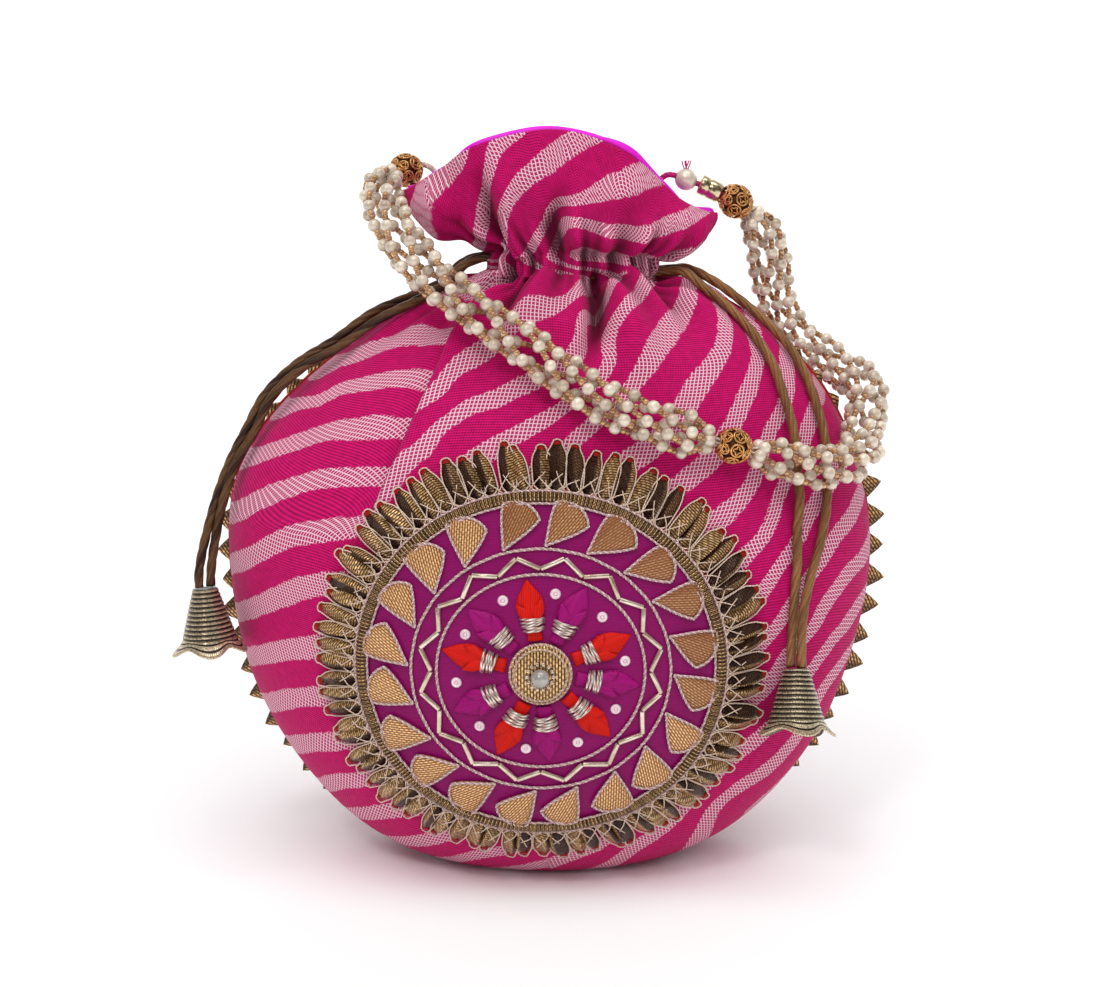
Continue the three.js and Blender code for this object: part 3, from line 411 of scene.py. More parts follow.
@dataclass(frozen=True)
class WovenMetal:
    """Flat ribbon woven from metal thread: bright bars in rows, with dark gaps between them."""

    name: str
    bright: Colour
    gap: Colour
    bar: float = 0.95
    row: float = 0.5
    depth: float = 0.14
    roughness: float = 0.3
    metal: float = 0.3

    def material(self) -> bpy.types.Material:
        """The finish as a material.

        Returns:
            The material.
        """
        s = Shade(self.name, Specular_IOR_Level=0.5)
        u, v, both = s.weave()
        rows = v / self.row
        shift = (rows * 0.5).fraction().step(0.49, 0.51) * 0.5
        bars = (u / self.bar + shift).sine().step(0.1, 0.5)
        ribs = rows.sine().step(0.05, 0.5)
        grain = s.noise(both, 1.6, 2)
        lit = ribs * (bars * 0.65 + 0.35)
        # The tone darkens the bright thread towards the gap colour; on the frill, braid, leaves, seam points and
        # tassels it carries painted shade and painted dark reflection besides uneven tone.
        tone = s.value("tone")
        bright = s.mix(tone, self.bright, self.gap)
        colour = s.mix(lit * (grain.step(0.3, 0.62) * 0.5 + 0.6), self.gap, bright)
        return s.done(
            Base_Color=colour,
            Metallic=lit * 0.15 + self.metal,
            Roughness=self.roughness + grain * 0.16 - lit * 0.06,
            Normal=s.bump(lit + grain * 0.25, self.depth, 1.0),
        )


@dataclass(frozen=True)
class Thread:
    """Twisted metal thread, wire or cord with a fine lay along it."""

    name: str
    bright: Colour
    dark: Colour
    lay: float = 0.35
    metal: float = 0.7
    roughness: float = 0.36
    slant: float = 0.5

    def material(self) -> bpy.types.Material:
        """The finish as a material.

        Returns:
            The material.
        """
        s = Shade(self.name, Specular_IOR_Level=0.5)
        u, v, both = s.weave()
        lay = ((v + u * self.slant) / self.lay).sine()
        grain = s.noise(both, 0.8, 3)
        share = lay.step(0.1, 0.9) * 0.75 + grain * 0.35
        # The tone darkens the thread; on the drawstrings it carries painted shade besides uneven tone between strands.
        bright = s.mix(s.value("tone"), self.bright, self.dark)
        return s.done(
            Base_Color=s.mix(share, self.dark, bright),
            Metallic=grain * 0.2 + (self.metal - 0.1),
            Roughness=self.roughness + grain * 0.2,
            Normal=s.bump(lay * 0.7 + grain * 0.3, 0.06, 0.7),
        )


@dataclass(frozen=True)
class Polished:
    """A smooth glossy bead, tube or ball: pearl, glass or gilt metal."""

    name: str
    colour: Colour
    second: Colour
    metal: float = 0.0
    roughness: float = 0.2
    coat: float = 0.6
    grain: float = 260.0

    def material(self) -> bpy.types.Material:
        """The finish as a material.

        Returns:
            The material.
        """
        s = Shade(self.name, Coat_Roughness=0.08, Metallic=self.metal, Specular_IOR_Level=0.5)
        cloud = s.noise(s.place(), self.grain, 3)
        tone = s.value("tone")
        return s.done(
            Base_Color=s.mix((cloud.step(0.35, 0.7) * 0.45 + tone * 0.6), self.colour, self.second),
            Roughness=self.roughness + cloud * 0.12,
            Coat_Weight=self.coat - cloud * 0.2,
            Normal=s.bump(cloud, 0.04, 0.3),
        )


MADE: dict["Finish", bpy.types.Material] = {}


class Finish(Enum):
    """Every finish on the bag."""

    CLOTH = StripedCloth()
    LINING = Satin("lining_satin", srgb(236, 34, 222), srgb(186, 10, 160), 0.4, 0.03, 0.36)
    ROUNDEL = Satin("roundel_satin", srgb(142, 0, 98), srgb(112, 0, 74), 0.45, 0.04, 0.36, 0.02)
    RED = Satin("red_ribbon", srgb(222, 22, 4), srgb(150, 4, 0), 0.5, 0.1, 0.5, 0.02)
    MAGENTA = Satin("magenta_ribbon", srgb(168, 0, 118), srgb(104, 0, 66), 0.5, 0.1, 0.45, 0.02)
    PIPING = Satin("red_piping", srgb(176, 34, 20), srgb(92, 10, 8), 0.6, 0.05, 0.6)
    RIBBON = WovenMetal("gold_ribbon", srgb(255, 204, 136), srgb(40, 10, 2), 1.1, 0.56, 0.22, 0.2, 0.3)
    LEAF = WovenMetal("leaf_ribbon", srgb(255, 206, 142), srgb(126, 62, 26), 1.5, 0.74, 0.2, 0.24, 0.14)
    TASSEL = WovenMetal("tassel_gold", srgb(255, 234, 196), srgb(22, 8, 3), 0.42, 1.36, 0.1, 0.22, 0.6)
    SILVER = Thread("silver_thread", srgb(255, 240, 234), srgb(158, 104, 104), 0.5, 0.12)
    ROSE = Thread("rose_thread", srgb(255, 236, 216), srgb(150, 100, 74), 0.5, 0.14)
    WIRE = Thread("binding_wire", srgb(250, 236, 228), srgb(160, 128, 116), 1.4, 0.75, 0.2)
    CORD = Thread("gold_cord", srgb(200, 142, 84), srgb(36, 12, 6), 0.42, 0.4, 0.24, 0.5)
    PINK_THREAD = Thread("pink_thread", srgb(226, 40, 140), srgb(170, 20, 90), 0.3, 0.1, 0.6)
    BUGLE = Polished("bugle_glass", srgb(246, 232, 212), srgb(170, 128, 96), 0.75, 0.14, 0.8)
    PEARL = Polished("pearl", srgb(240, 226, 206), srgb(142, 116, 92), 0.22, 0.2, 1.0)
    CENTRE = Polished("grey_pearl", srgb(176, 172, 166), srgb(130, 124, 116), 0.4, 0.2, 0.8)
    SPACER = Polished("champagne_glass", srgb(224, 178, 126), srgb(124, 66, 40), 0.55, 0.12, 1.0)
    SEQUIN = Polished("pearly_sequin", srgb(244, 222, 228), srgb(206, 160, 180), 0.15, 0.25, 0.8)
    GILT = Polished("filigree_gold", srgb(236, 176, 108), srgb(160, 96, 46), 0.85, 0.2, 0.2, 700.0)
    TUBE = Polished("polished_gold", srgb(236, 222, 180), srgb(190, 160, 110), 0.95, 0.12, 0.4)
    # Painted shade: the dark core set inside each filigree ball, standing for the shaded hollow seen through its
    # openwork.
    HOLLOW = Polished("painted_shade_core", srgb(84, 44, 22), srgb(40, 18, 8), 0.6, 0.45, 0.0)

    @property
    def made(self) -> bpy.types.Material:
        """The finish's material, made once."""
        return MADE.setdefault(self, MADE.get(self) or self.value.material())

    @property
    def slot(self) -> str:
        """The record's own name for what the finish is of.

        Returns:
            The slot's name.
        """
        other = {
            Finish.LEAF: "gold_ribbon",
            Finish.ROSE: "silver_thread",
            Finish.WIRE: "silver_thread",
            Finish.CENTRE: "pearl",
            Finish.SEQUIN: "pearl",
            Finish.SPACER: "seed_glass",
            Finish.HOLLOW: "filigree_gold",
            Finish.PIPING: "red_ribbon",
            Finish.PINK_THREAD: "gold_cord",
        }
        return other.get(self, self.value.name)


# Meshes


class Skin:
    """Points and faces in millimetres, gathered up into one mesh."""

    def __init__(self) -> None:
        """Starts empty."""
        self.points: list[np.ndarray] = []
        self.faces: list[np.ndarray] = []
        self.slots: list[np.ndarray] = []
        self.weave: list[np.ndarray] = []
        self.tone: list[np.ndarray] = []
        self.stripe: list[np.ndarray] = []
        self.count = 0

    def add(self, points: np.ndarray, quads: np.ndarray, weave: Any = 0.0, tone: Any = 0.0, stripe: Any = 0.0,
            slot: int = 0) -> None:
        """Adds points and four-sided faces.

        Args:
            points: The points.
            quads: Four point numbers for each face.
            weave: The points' thread coordinates.
            tone: The points' tone.
            stripe: The points' stripe phase.
            slot: The faces' material slot.
        """
        flat = points.reshape(-1, 3)
        n = len(flat)
        threads = np.zeros((n, 3))
        given = np.asarray(weave, float)
        if given.ndim > 1:
            threads[:, : given.shape[-1]] = given.reshape(n, -1)
        self.points.append(flat)
        self.faces.append(quads + self.count)
        self.slots.append(np.full(len(quads), slot, np.int32))
        self.weave.append(threads)
        self.tone.append(np.broadcast_to(np.asarray(tone, float).ravel(), (n,)) if np.size(tone) == 1
                         else np.asarray(tone, float).ravel())
        self.stripe.append(np.broadcast_to(np.asarray(stripe, float).ravel(), (n,)) if np.size(stripe) == 1
                           else np.asarray(stripe, float).ravel())
        self.count += n

    @staticmethod
    def sheet_faces(rows: int, columns: int, wrap_rows: bool = False, wrap_columns: bool = False) -> np.ndarray:
        """The faces of a grid of points.

        Args:
            rows: How many rows the grid has.
            columns: How many points a row has.
            wrap_rows: Whether the last row joins the first.
            wrap_columns: Whether each row's last point joins its first.

        Returns:
            Four point numbers for each face.
        """
        i, j = np.meshgrid(np.arange(rows - (not wrap_rows)), np.arange(columns - (not wrap_columns)), indexing="ij")
        i, j = i.ravel(), j.ravel()
        k, m = (i + 1) % rows, (j + 1) % columns
        return np.stack([i * columns + j, i * columns + m, k * columns + m, k * columns + j], axis=1)

    def grid(self, points: np.ndarray, wrap_rows: bool = False, wrap_columns: bool = False, **values: Any) -> None:
        """Adds one grid of points as a skin, whose rows and columns close on themselves where told."""
        faces = self.sheet_faces(points.shape[0], points.shape[1], wrap_rows, wrap_columns)
        self.add(points, faces, **values)

    def slab(self, top: np.ndarray, bottom: np.ndarray, closed: bool = False, **values: Any) -> None:
        """Adds a closed body between two grids of the same size.

        Args:
            top: The upper grid.
            bottom: The lower grid.
            closed: Whether each row closes on itself.
            **values: What add() takes, for one grid.
        """
        rows, columns = top.shape[:2]
        n = rows * columns
        face = self.sheet_faces(rows, columns, False, closed)
        index = np.arange(n).reshape(rows, columns)
        rims = [index[0], index[-1][::-1]] + ([] if closed else [index[::-1, 0], index[:, -1]])
        walls = []
        for rim in rims:
            a, b = (rim, np.roll(rim, -1)) if closed else (rim[:-1], rim[1:])
            walls.append(np.stack([a, a + n, b + n, b], axis=1))
        for key in ("weave", "tone", "stripe"):
            if key in values and np.size(values[key]) > 1:
                value = np.asarray(values[key], float)
                value = value.reshape(n, -1)
                values[key] = np.vstack([value, value])
                if value.shape[1] == 1:
                    values[key] = values[key].ravel()
        self.add(np.concatenate([top.reshape(-1, 3), bottom.reshape(-1, 3)]),
                 np.concatenate([face, face[:, ::-1] + n, *walls]), **values)

    def tube(self, line: np.ndarray, radius: Any, sides: int = 6, up: np.ndarray | None = None, closed: bool = False,
             **values: Any) -> None:
        """Adds a round tube along a line.

        Args:
            line: The line's points.
            radius: The tube's radius, one number or one for each point.
            sides: How many sides it has.
            up: A direction off the surface at each point, or nothing.
            closed: Whether the line is a loop.
            **values: What add() takes.
        """
        if closed:
            tangent = unit(np.roll(line, -1, axis=0) - np.roll(line, 1, axis=0))
        else:
            tangent = unit(np.gradient(line, axis=0))
        if up is None:
            normal, side = carried(line)
        else:
            side = unit(np.cross(tangent, up))
            normal = np.cross(side, tangent)
        turn = np.arange(sides) / sides * TAU
        r = np.broadcast_to(np.asarray(radius, float), (len(line),))[:, None, None]
        ring = np.cos(turn)[None, :, None] * normal[:, None, :] + np.sin(turn)[None, :, None] * side[:, None, :]
        points = line[:, None, :] + r * ring
        at = along(line)
        weave = stack(at[:, None], turn[None, :] * r[:, :, 0])
        if not closed:
            first, last = (np.broadcast_to(line[k], (1, sides, 3)) for k in (0, -1))
            points = np.concatenate([first, points, last])
            weave = np.concatenate([weave[:1], weave, weave[-1:]])
        self.grid(points, closed, True, weave=weave, **values)

    def twist(self, line: np.ndarray, radius: float, up: np.ndarray, pitch: float = 1.7, closed: bool = True,
              strands: int = 2, sides: int = 5, **values: Any) -> None:
        """Adds a cord of thin threads laid round each other.

        Args:
            line: The cord's middle line.
            radius: The cord's radius.
            up: A direction off the surface at each point.
            pitch: How far a thread goes in one turn.
            closed: Whether the line is a loop.
            strands: How many threads there are.
            sides: How many sides each thread has.
            **values: What add() takes.
        """
        if closed:
            line, up = np.vstack([line, line[:1]]), np.vstack([up, up[:1]])
        at = along(line)
        turns = max(1, round(at[-1] / pitch))
        new = np.linspace(0, at[-1], turns * 6 + 1)
        fine = np.stack([np.interp(new, at, line[:, k]) for k in range(3)], axis=1)
        out = unit(np.stack([np.interp(new, at, up[:, k]) for k in range(3)], axis=1))
        if closed:
            fine, out, new = fine[:-1], out[:-1], new[:-1]
            tangent = unit(np.roll(fine, -1, axis=0) - np.roll(fine, 1, axis=0))
        else:
            tangent = unit(np.gradient(fine, axis=0))
        side = unit(np.cross(tangent, out))
        normal = np.cross(side, tangent)
        for k in range(strands):
            turn = (new / at[-1] * turns + k / strands) * TAU
            path = fine + 0.5 * radius * (np.cos(turn)[:, None] * normal + np.sin(turn)[:, None] * side)
            self.tube(path, radius * 0.54, sides, out, closed, tone=0.6 * k / max(strands - 1, 1), **values)

    def lathe(self, profile: Sequence[Sequence[float]], sides: int, at: np.ndarray, axis: np.ndarray,
              **values: Any) -> None:
        """Adds a turned body.

        Args:
            profile: Its radius and its height along the axis, from one end to the other.
            sides: How many sides it has.
            at: Where it sits.
            axis: Its axis.
            **values: What add() takes.
        """
        shape = np.array(profile, float)
        z = unit(np.asarray(axis, float))
        x = unit(np.cross(z, [0.3, 0.9, 0.2] if abs(z[1]) < 0.9 else [1, 0, 0]))
        y = np.cross(z, x)
        turn = np.arange(sides) / sides * TAU
        ring = np.cos(turn)[:, None] * x + np.sin(turn)[:, None] * y
        points = at + shape[:, 0, None, None] * ring[None] + shape[:, 1, None, None] * z
        weave = stack(shape[:, 1, None], shape[:, 0, None] * turn[None, :])
        self.grid(points, False, True, weave=weave, **values)

    def ball(self, at: np.ndarray, radius: float, sides: int = 14, **values: Any) -> None:
        """Adds a round bead.

        Args:
            at: Its middle.
            radius: Its radius.
            sides: How many sides it has.
            **values: What add() takes.
        """
        turn = np.linspace(0, math.pi, sides // 2 + 2)
        self.lathe(np.stack([radius * np.sin(turn), -radius * np.cos(turn)], axis=1), sides, at,
                   np.array([0.2, 0.3, 0.93]), **values)

    def piece(self, name: str, *finishes: Finish, replaces: Sequence[str] = (), flat: bool = False) -> bpy.types.Object:
        """Makes the mesh, sets it on the bag and hides the solids that it stands for.

        Args:
            name: The piece's name.
            *finishes: Its finishes, by slot number.
            replaces: The solids that it stands for.
            flat: Whether its faces are shaded flat.

        Returns:
            The piece.
        """
        mesh = bpy.data.meshes.new(name)
        points = np.concatenate(self.points) * MM
        faces = np.concatenate(self.faces).astype(np.int32)
        mesh.vertices.add(len(points))
        mesh.vertices.foreach_set("co", points.ravel())
        mesh.loops.add(faces.size)
        mesh.loops.foreach_set("vertex_index", faces.ravel())
        mesh.polygons.add(len(faces))
        mesh.polygons.foreach_set("loop_start", np.arange(0, faces.size, 4, dtype=np.int32))
        mesh.polygons.foreach_set("material_index", np.concatenate(self.slots))
        for key, kind, field, data in (
            ("weave", "FLOAT_VECTOR", "vector", np.concatenate(self.weave)),
            ("tone", "FLOAT", "value", np.concatenate(self.tone)),
            ("stripe", "FLOAT", "value", np.concatenate(self.stripe)),
        ):
            mesh.attributes.new(key, kind, "POINT").data.foreach_set(field, data.ravel())
        mesh.update()
        work = bmesh.new()
        work.from_mesh(mesh)
        bmesh.ops.remove_doubles(work, verts=work.verts, dist=2e-7)
        bmesh.ops.dissolve_degenerate(work, edges=work.edges, dist=1e-8)
        bmesh.ops.recalc_face_normals(work, faces=work.faces)
        work.to_mesh(mesh)
        work.free()
        mesh.polygons.foreach_set("use_smooth", np.full(len(mesh.polygons), not flat))
        for finish in finishes:
            mesh.materials.append(finish.made)
        made = bpy.data.objects.new(name, mesh)
        bpy.context.collection.objects.link(made)
        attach(made, "root")
        if replaces:
            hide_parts(*replaces)
        LOG.info("%s: %d faces", name, len(mesh.polygons))
        return made


# The bag's form


# The side seam, from the mouth down, under the base and back, as points in its own upright plane.
SEAM_RUN = (
    (0, 0, 263), (0, 0, 184), (0, 3, 125), (0, 6, 58), (0, 12, 22), (0, 19, 6.6), (0, 29, 2.6), (0, 55, 2.6),
)


@dataclass
class BagForm:
    """The smooth form of the cloth, which every piece on it follows."""

    half_width: float = 100
    widest_height: float = 100
    belly_front: float = -54
    belly_back: float = 48
    belly_height: float = 78
    base_half_width: float = 32
    base_front: float = -15
    base_back: float = 25
    lower_fullness: float = 1.75
    shoulder_fall: float = 2.2
    shoulder_steepness: float = 0.75
    casing_bottom: float = 184
    casing_height: float = 9
    neck_half_width: float = 25
    neck_front: float = -16
    neck_back: float = 15
    neck_shift: float = 7.5
    shift_start: float = 120
    mouth_shift: float = 3
    mouth_half_width: float = 45.2
    mouth_front: float = -18
    mouth_back: float = 14
    rim_left: float = 210.5
    rim_right: float = 204
    rim_swell: float = 22
    rim_back_drop: float = 6
    mouth_waves: int = 6
    mouth_wave_depth: float = 2.4
    roundel_x: float = -2.4
    roundel_z: float = 75
    roundel_squash: float = 0.965

    def swell(self, z: Any, base: float, belly: float, neck: float, peak: float) -> np.ndarray:
        """A size that swells from the base to the belly and falls to the neck.

        Args:
            z: The heights.
            base: The size at the floor.
            belly: The size at the peak.
            neck: The size at the casing.
            peak: The height of the peak.

        Returns:
            The size at each height.
        """
        z = np.asarray(z, float)
        rise = np.maximum(1 - (1 - np.clip(z, 0, peak) / peak) ** 2, 0)
        low = base + (belly - base) * rise ** (1 / self.lower_fullness)
        fall = np.clip((z - peak) / (self.casing_bottom - peak), 0, 1)
        high = neck + (belly - neck) * (1 - fall**self.shoulder_fall) ** self.shoulder_steepness
        return np.where(z <= peak, low, high)

    def half(self, z: Any) -> np.ndarray:
        """Half the bag's width at each height."""
        return self.swell(z, self.base_half_width, self.half_width, self.neck_half_width, self.widest_height)

    def front(self, z: Any) -> np.ndarray:
        """How far forward the cloth is at each height."""
        return self.swell(z, self.base_front, self.belly_front, self.neck_front, self.belly_height)

    def back(self, z: Any) -> np.ndarray:
        """How far back the cloth is at each height."""
        return self.swell(z, self.base_back, self.belly_back, self.neck_back, self.belly_height)

    def middle_x(self, z: Any) -> np.ndarray:
        """The middle across at each height."""
        return self.neck_shift * smooth(z, self.shift_start, self.casing_bottom)

    def middle_y(self, z: Any) -> np.ndarray:
        """The middle front to back at each height."""
        return 5 - 5.5 * np.clip(np.asarray(z, float) / self.casing_bottom, 0, 1)

    def rings(self, t: np.ndarray, angle: np.ndarray) -> tuple[np.ndarray, ...]:
        """The level rings of the cloth: middle x and y, half width, front, back and height.

        Args:
            t: 0 at the floor, 1 and 2 at the casing's foot and top, and 3 at the rim.
            angle: The turn, 0 at the right and a quarter turn below it at the front.

        Returns:
            Six arrays.
        """
        low = np.minimum(t, 1)
        height = np.where(
            t < 0.5,
            self.widest_height * (1 - np.cos(np.pi * low)),
            self.widest_height
            + (self.casing_bottom - self.widest_height) * np.sin(np.pi / 2 * (2 * low - 1)),
        )
        flare = np.maximum(t - 2, 0)
        opened = 1 - (1 - flare) ** 2
        wave = self.mouth_wave_depth * flare**1.3 * (
            0.75 * np.cos(self.mouth_waves * (angle + np.pi / 2) + np.pi)
            + 0.25 * np.cos(2 * self.mouth_waves * angle + 1)
        )
        across = (np.cos(angle) + 1) / 2
        ends = self.rim_left + (self.rim_right - self.rim_left) * across
        bump = np.abs(np.sin(angle)) ** (1.8 + 1.5 * across)
        drop = np.where(np.sin(angle) > 0, self.rim_back_drop * np.sin(angle) ** 2, 0)
        rise = ends + self.rim_swell * bump - drop - self.casing_bottom - self.casing_height
        body = t <= 1
        neck_y = float(self.middle_y(self.casing_bottom))
        top = self.casing_bottom + np.clip(t - 1, 0, 1) * self.casing_height + rise * flare
        return (
            np.where(body, self.middle_x(height), self.neck_shift + (self.mouth_shift - self.neck_shift) * flare),
            np.where(body, self.middle_y(height), neck_y),
            np.where(body, self.half(height),
                     self.neck_half_width + (self.mouth_half_width - self.neck_half_width) * opened + wave),
            np.where(body, self.front(height),
                     self.neck_front + (self.mouth_front - self.neck_front) * opened - wave),
            np.where(body, self.back(height), self.neck_back + (self.mouth_back - self.neck_back) * opened + wave),
            np.where(body, height, top),
        )

    def smooth_point(self, angle: np.ndarray, t: np.ndarray) -> np.ndarray:
        """The cloth's smooth form at each turn and t.

        Args:
            angle: The turn about the bag.
            t: How far up the cloth it is.

        Returns:
            The points.
        """
        x, y, half, front, back, z = self.rings(t, angle)
        s = np.sin(angle)
        return stack(x + half * np.cos(angle), y + np.where(s < 0, (y - front) * s, (back - y) * s), z)

    def point(self, angle: np.ndarray, t: np.ndarray, out: Any) -> np.ndarray:
        """The form's points moved out along their own normals.

        Args:
            angle: The turns.
            t: How far up each is.
            out: How far to move each.

        Returns:
            The points.
        """
        e = 1e-3
        across = self.smooth_point(angle + e, t) - self.smooth_point(angle - e, t)
        upwards = self.smooth_point(angle, np.minimum(t + e, 3.2)) - self.smooth_point(angle, np.maximum(t - e, 0))
        normal = unit(np.cross(across, upwards))
        return self.smooth_point(angle, t) + normal * np.broadcast_to(out, np.shape(t))[..., None]

    def surface(self, x: Any, z: Any) -> np.ndarray:
        """How far forward the front cloth is at a place across and up."""
        inside = np.clip(1 - ((x - self.middle_x(z)) / self.half(z)) ** 2, 0, 1)
        return self.middle_y(z) - (self.middle_y(z) - self.front(z)) * np.sqrt(inside)

    def on_front(self, u: Any, v: Any, h: Any) -> np.ndarray:
        """Points on the roundel's ground, measured along the cloth from the roundel's centre.

        Args:
            u: How far across.
            v: How far up.
            h: How far off the cloth.

        Returns:
            The points.
        """
        u, v, h = np.broadcast_arrays(np.asarray(u, float), v, h)
        steps = 14
        z = np.full(u.shape, float(self.roundel_z))
        for _ in range(steps):
            slope = (self.surface(self.roundel_x, z + 0.05) - self.surface(self.roundel_x, z - 0.05)) / 0.1
            z = z + self.roundel_squash * v / steps / np.hypot(1, slope)
        x = np.full(u.shape, float(self.roundel_x))
        for _ in range(steps):
            slope = (self.surface(x + 0.05, z) - self.surface(x - 0.05, z)) / 0.1
            x = x + u / steps / np.hypot(1, slope)
        slope_x = (self.surface(x + 0.05, z) - self.surface(x - 0.05, z)) / 0.1
        slope_z = (self.surface(x, z + 0.05) - self.surface(x, z - 0.05)) / 0.1
        normal = unit(stack(slope_x, -1.0, slope_z))
        return stack(x, self.surface(x, z), z) + normal * h[..., None]

    def polar(self, r: Any, angle: Any, h: Any) -> np.ndarray:
        """Points on the roundel's ground from a radius and a turn."""
        return self.on_front(r * np.cos(angle), r * np.sin(angle), h)

    def off_front(self, u: Any, v: Any) -> np.ndarray:
        """The direction off the roundel's ground at each place."""
        return unit(self.on_front(u, v, 1.0) - self.on_front(u, v, 0.0))

    def seam_y(self, z: Any) -> np.ndarray:
        """How far back the seam runs at each height."""
        line = curve(SEAM_RUN, 1.0)[::-1]
        return np.interp(np.asarray(z, float), line[:, 2], line[:, 1])


@dataclass
class StripeField:
    """Stripes drawn as lines on the cloth: the phase is a whole number along the middle of each pale stripe."""

    lines: Sequence[tuple[float, Sequence[tuple[float, float]]]]
    slack: float = 6.0

    def phase(self, x: np.ndarray, z: np.ndarray) -> np.ndarray:
        """The stripe phase at places across and up.

        Args:
            x: The places across.
            z: The places up.

        Returns:
            The phase at each.
        """
        known = np.array([(a, b, n) for n, line in self.lines for a, b in line], float)
        centre, value = known[:, :2], known[:, 2]

        def bend(distance: np.ndarray) -> np.ndarray:
            """The thin plate's own response to a distance."""
            return distance**2 * np.log(np.maximum(distance, 1e-6))

        n = len(centre)
        gap = np.linalg.norm(centre[:, None] - centre[None], axis=-1)
        flat = np.hstack([np.ones((n, 1)), centre])
        system = np.zeros((n + 3, n + 3))
        system[:n, :n] = bend(gap) + self.slack * np.eye(n)
        system[:n, n:], system[n:, :n] = flat, flat.T
        weights = np.linalg.solve(system, np.concatenate([value, np.zeros(3)]))
        places = np.stack([x.ravel(), z.ravel()], axis=1)
        reach = np.linalg.norm(places[:, None] - centre[None], axis=-1)
        made = bend(reach) @ weights[:n] + weights[n] + places @ weights[n + 1 :]
        return made.reshape(x.shape)


@dataclass(frozen=True)
class Fold:
    """A ridge or a valley in the cloth, drawn as a line across and up the front."""

    line: tuple[tuple[float, float], ...]
    width: float
    height: float

    def lift(self, x: np.ndarray, z: np.ndarray) -> np.ndarray:
        """How far the fold lifts the cloth, which fades towards its last point.

        Args:
            x: The places across.
            z: The places up.

        Returns:
            The lift at each.
        """
        best = np.full(x.shape, 1e9)
        share = np.zeros(x.shape)
        last = len(self.line) - 1
        for k, (a, b) in enumerate(zip(self.line, self.line[1:])):
            run = np.subtract(b, a)
            t = np.clip(((x - a[0]) * run[0] + (z - a[1]) * run[1]) / (run @ run), 0, 1)
            away = np.hypot(x - a[0] - t * run[0], z - a[1] - t * run[1])
            share = np.where(away < best, (k + t) / last, share)
            best = np.minimum(away, best)
        return self.height * np.exp(-((best / self.width) ** 2)) * (1 - smooth(share, 0.45, 1.0) * 0.9)


LEFT_STRIPES = (
    (1, ((-27, 169), (-38, 169), (-48, 166), (-61, 161), (-72, 155))),
    (2, ((-34, 157), (-46, 157), (-64, 153), (-76, 148), (-85, 143))),
    (3, ((-44, 144), (-59, 142), (-75, 138), (-90, 131))),
    (4, ((-47, 130), (-59, 129), (-71, 127), (-83, 122), (-94, 115))),
    (5, ((-57, 115), (-66, 113), (-79, 109), (-89, 103), (-100, 95))),
    (6, ((-68, 97), (-75, 95), (-83, 90), (-92, 84))),
    (7, ((-71, 77), (-84, 73), (-91, 69))),
    (8, ((-69, 62), (-73, 61), (-86, 54))),
    (9, ((-62, 48), (-74, 44))),
    (10, ((-53, 36), (-62, 33), (-72, 25))),
    (11, ((-41, 27), (-50, 24), (-59, 19))),
    (12, ((-25, 19), (-31, 17), (-38, 13))),
    (13, ((-12, 13), (-19, 11))),
    (14, ((7, 11), (14, 14), (17, 16))),
)
RIGHT_STRIPES = (
    (4, ((-32, 154), (-27, 161), (-21, 164), (-6, 176), (0, 176), (5, 177), (8, 179))),
    (5, ((-59, 113), (-55, 118), (-47, 127), (-41, 135), (-36, 138), (-32, 144), (-24, 150), (-16, 152), (-10, 155),
         (3, 161), (10, 168), (10, 175), (14, 177))),
    (6, ((-16, 139), (-7, 144), (1, 148), (18, 163), (17, 167), (18, 172), (23, 176), (28, 182))),
    (7, ((8, 142), (15, 148), (26, 159), (29, 162), (32, 167), (36, 172), (41, 177))),
    (8, ((27, 137), (32, 140), (43, 155), (47, 159), (51, 165), (52, 170), (50, 177))),
    (9, ((40, 130), (45, 133), (54, 144), (58, 151), (61, 158), (63, 164), (60, 169))),
    (10, ((51, 119), (57, 124), (61, 129), (66, 142), (71, 148), (72, 157), (71, 162))),
    (11, ((59, 108), (63, 112), (66, 117), (68, 123), (77, 140), (79, 145), (83, 151))),
    (12, ((-25, 19), (64, 97), (66, 100), (69, 104), (75, 111), (76, 115), (79, 118), (90, 131))),
    (13, ((-12, 13), (66, 82), (69, 86), (72, 90), (80, 100), (83, 104), (86, 109), (90, 112), (95, 118))),
    (14, ((7, 11), (14, 14), (17, 16), (63, 64), (66, 66), (71, 75), (80, 82), (83, 88), (87, 92), (91, 97), (95, 99))),
    (15, ((22, 8), (27, 14), (35, 20), (41, 27), (47, 33), (53, 40), (59, 46), (65, 51), (79, 67), (82, 71), (87, 77),
          (91, 79), (95, 84))),
    (16, ((45, 3), (48, 17), (51, 26), (57, 31), (65, 35), (74, 43), (83, 58), (86, 62))),
)
MOUTH_STRIPES = (
    (0.45, ((-42, 209), (-45, 213), (-42, 203))),
    (1, ((-26, 222), (-33, 215), (-38, 207), (-36, 202))),
    (2, ((-11, 228), (-16, 225), (-17, 221), (-19, 212), (-20, 202), (-20, 196))),
    (3, ((10, 227), (4, 224), (-3, 218), (-9, 213), (-13, 207), (-14, 202))),
    (4, ((27, 216), (21, 214), (14, 211), (7, 208), (0, 202), (-4, 196))),
    (5, ((45, 205), (35, 202), (24, 200), (14, 201), (4, 203))),
    (6, ((43, 197), (24, 192), (14, 192), (9, 193))),
)
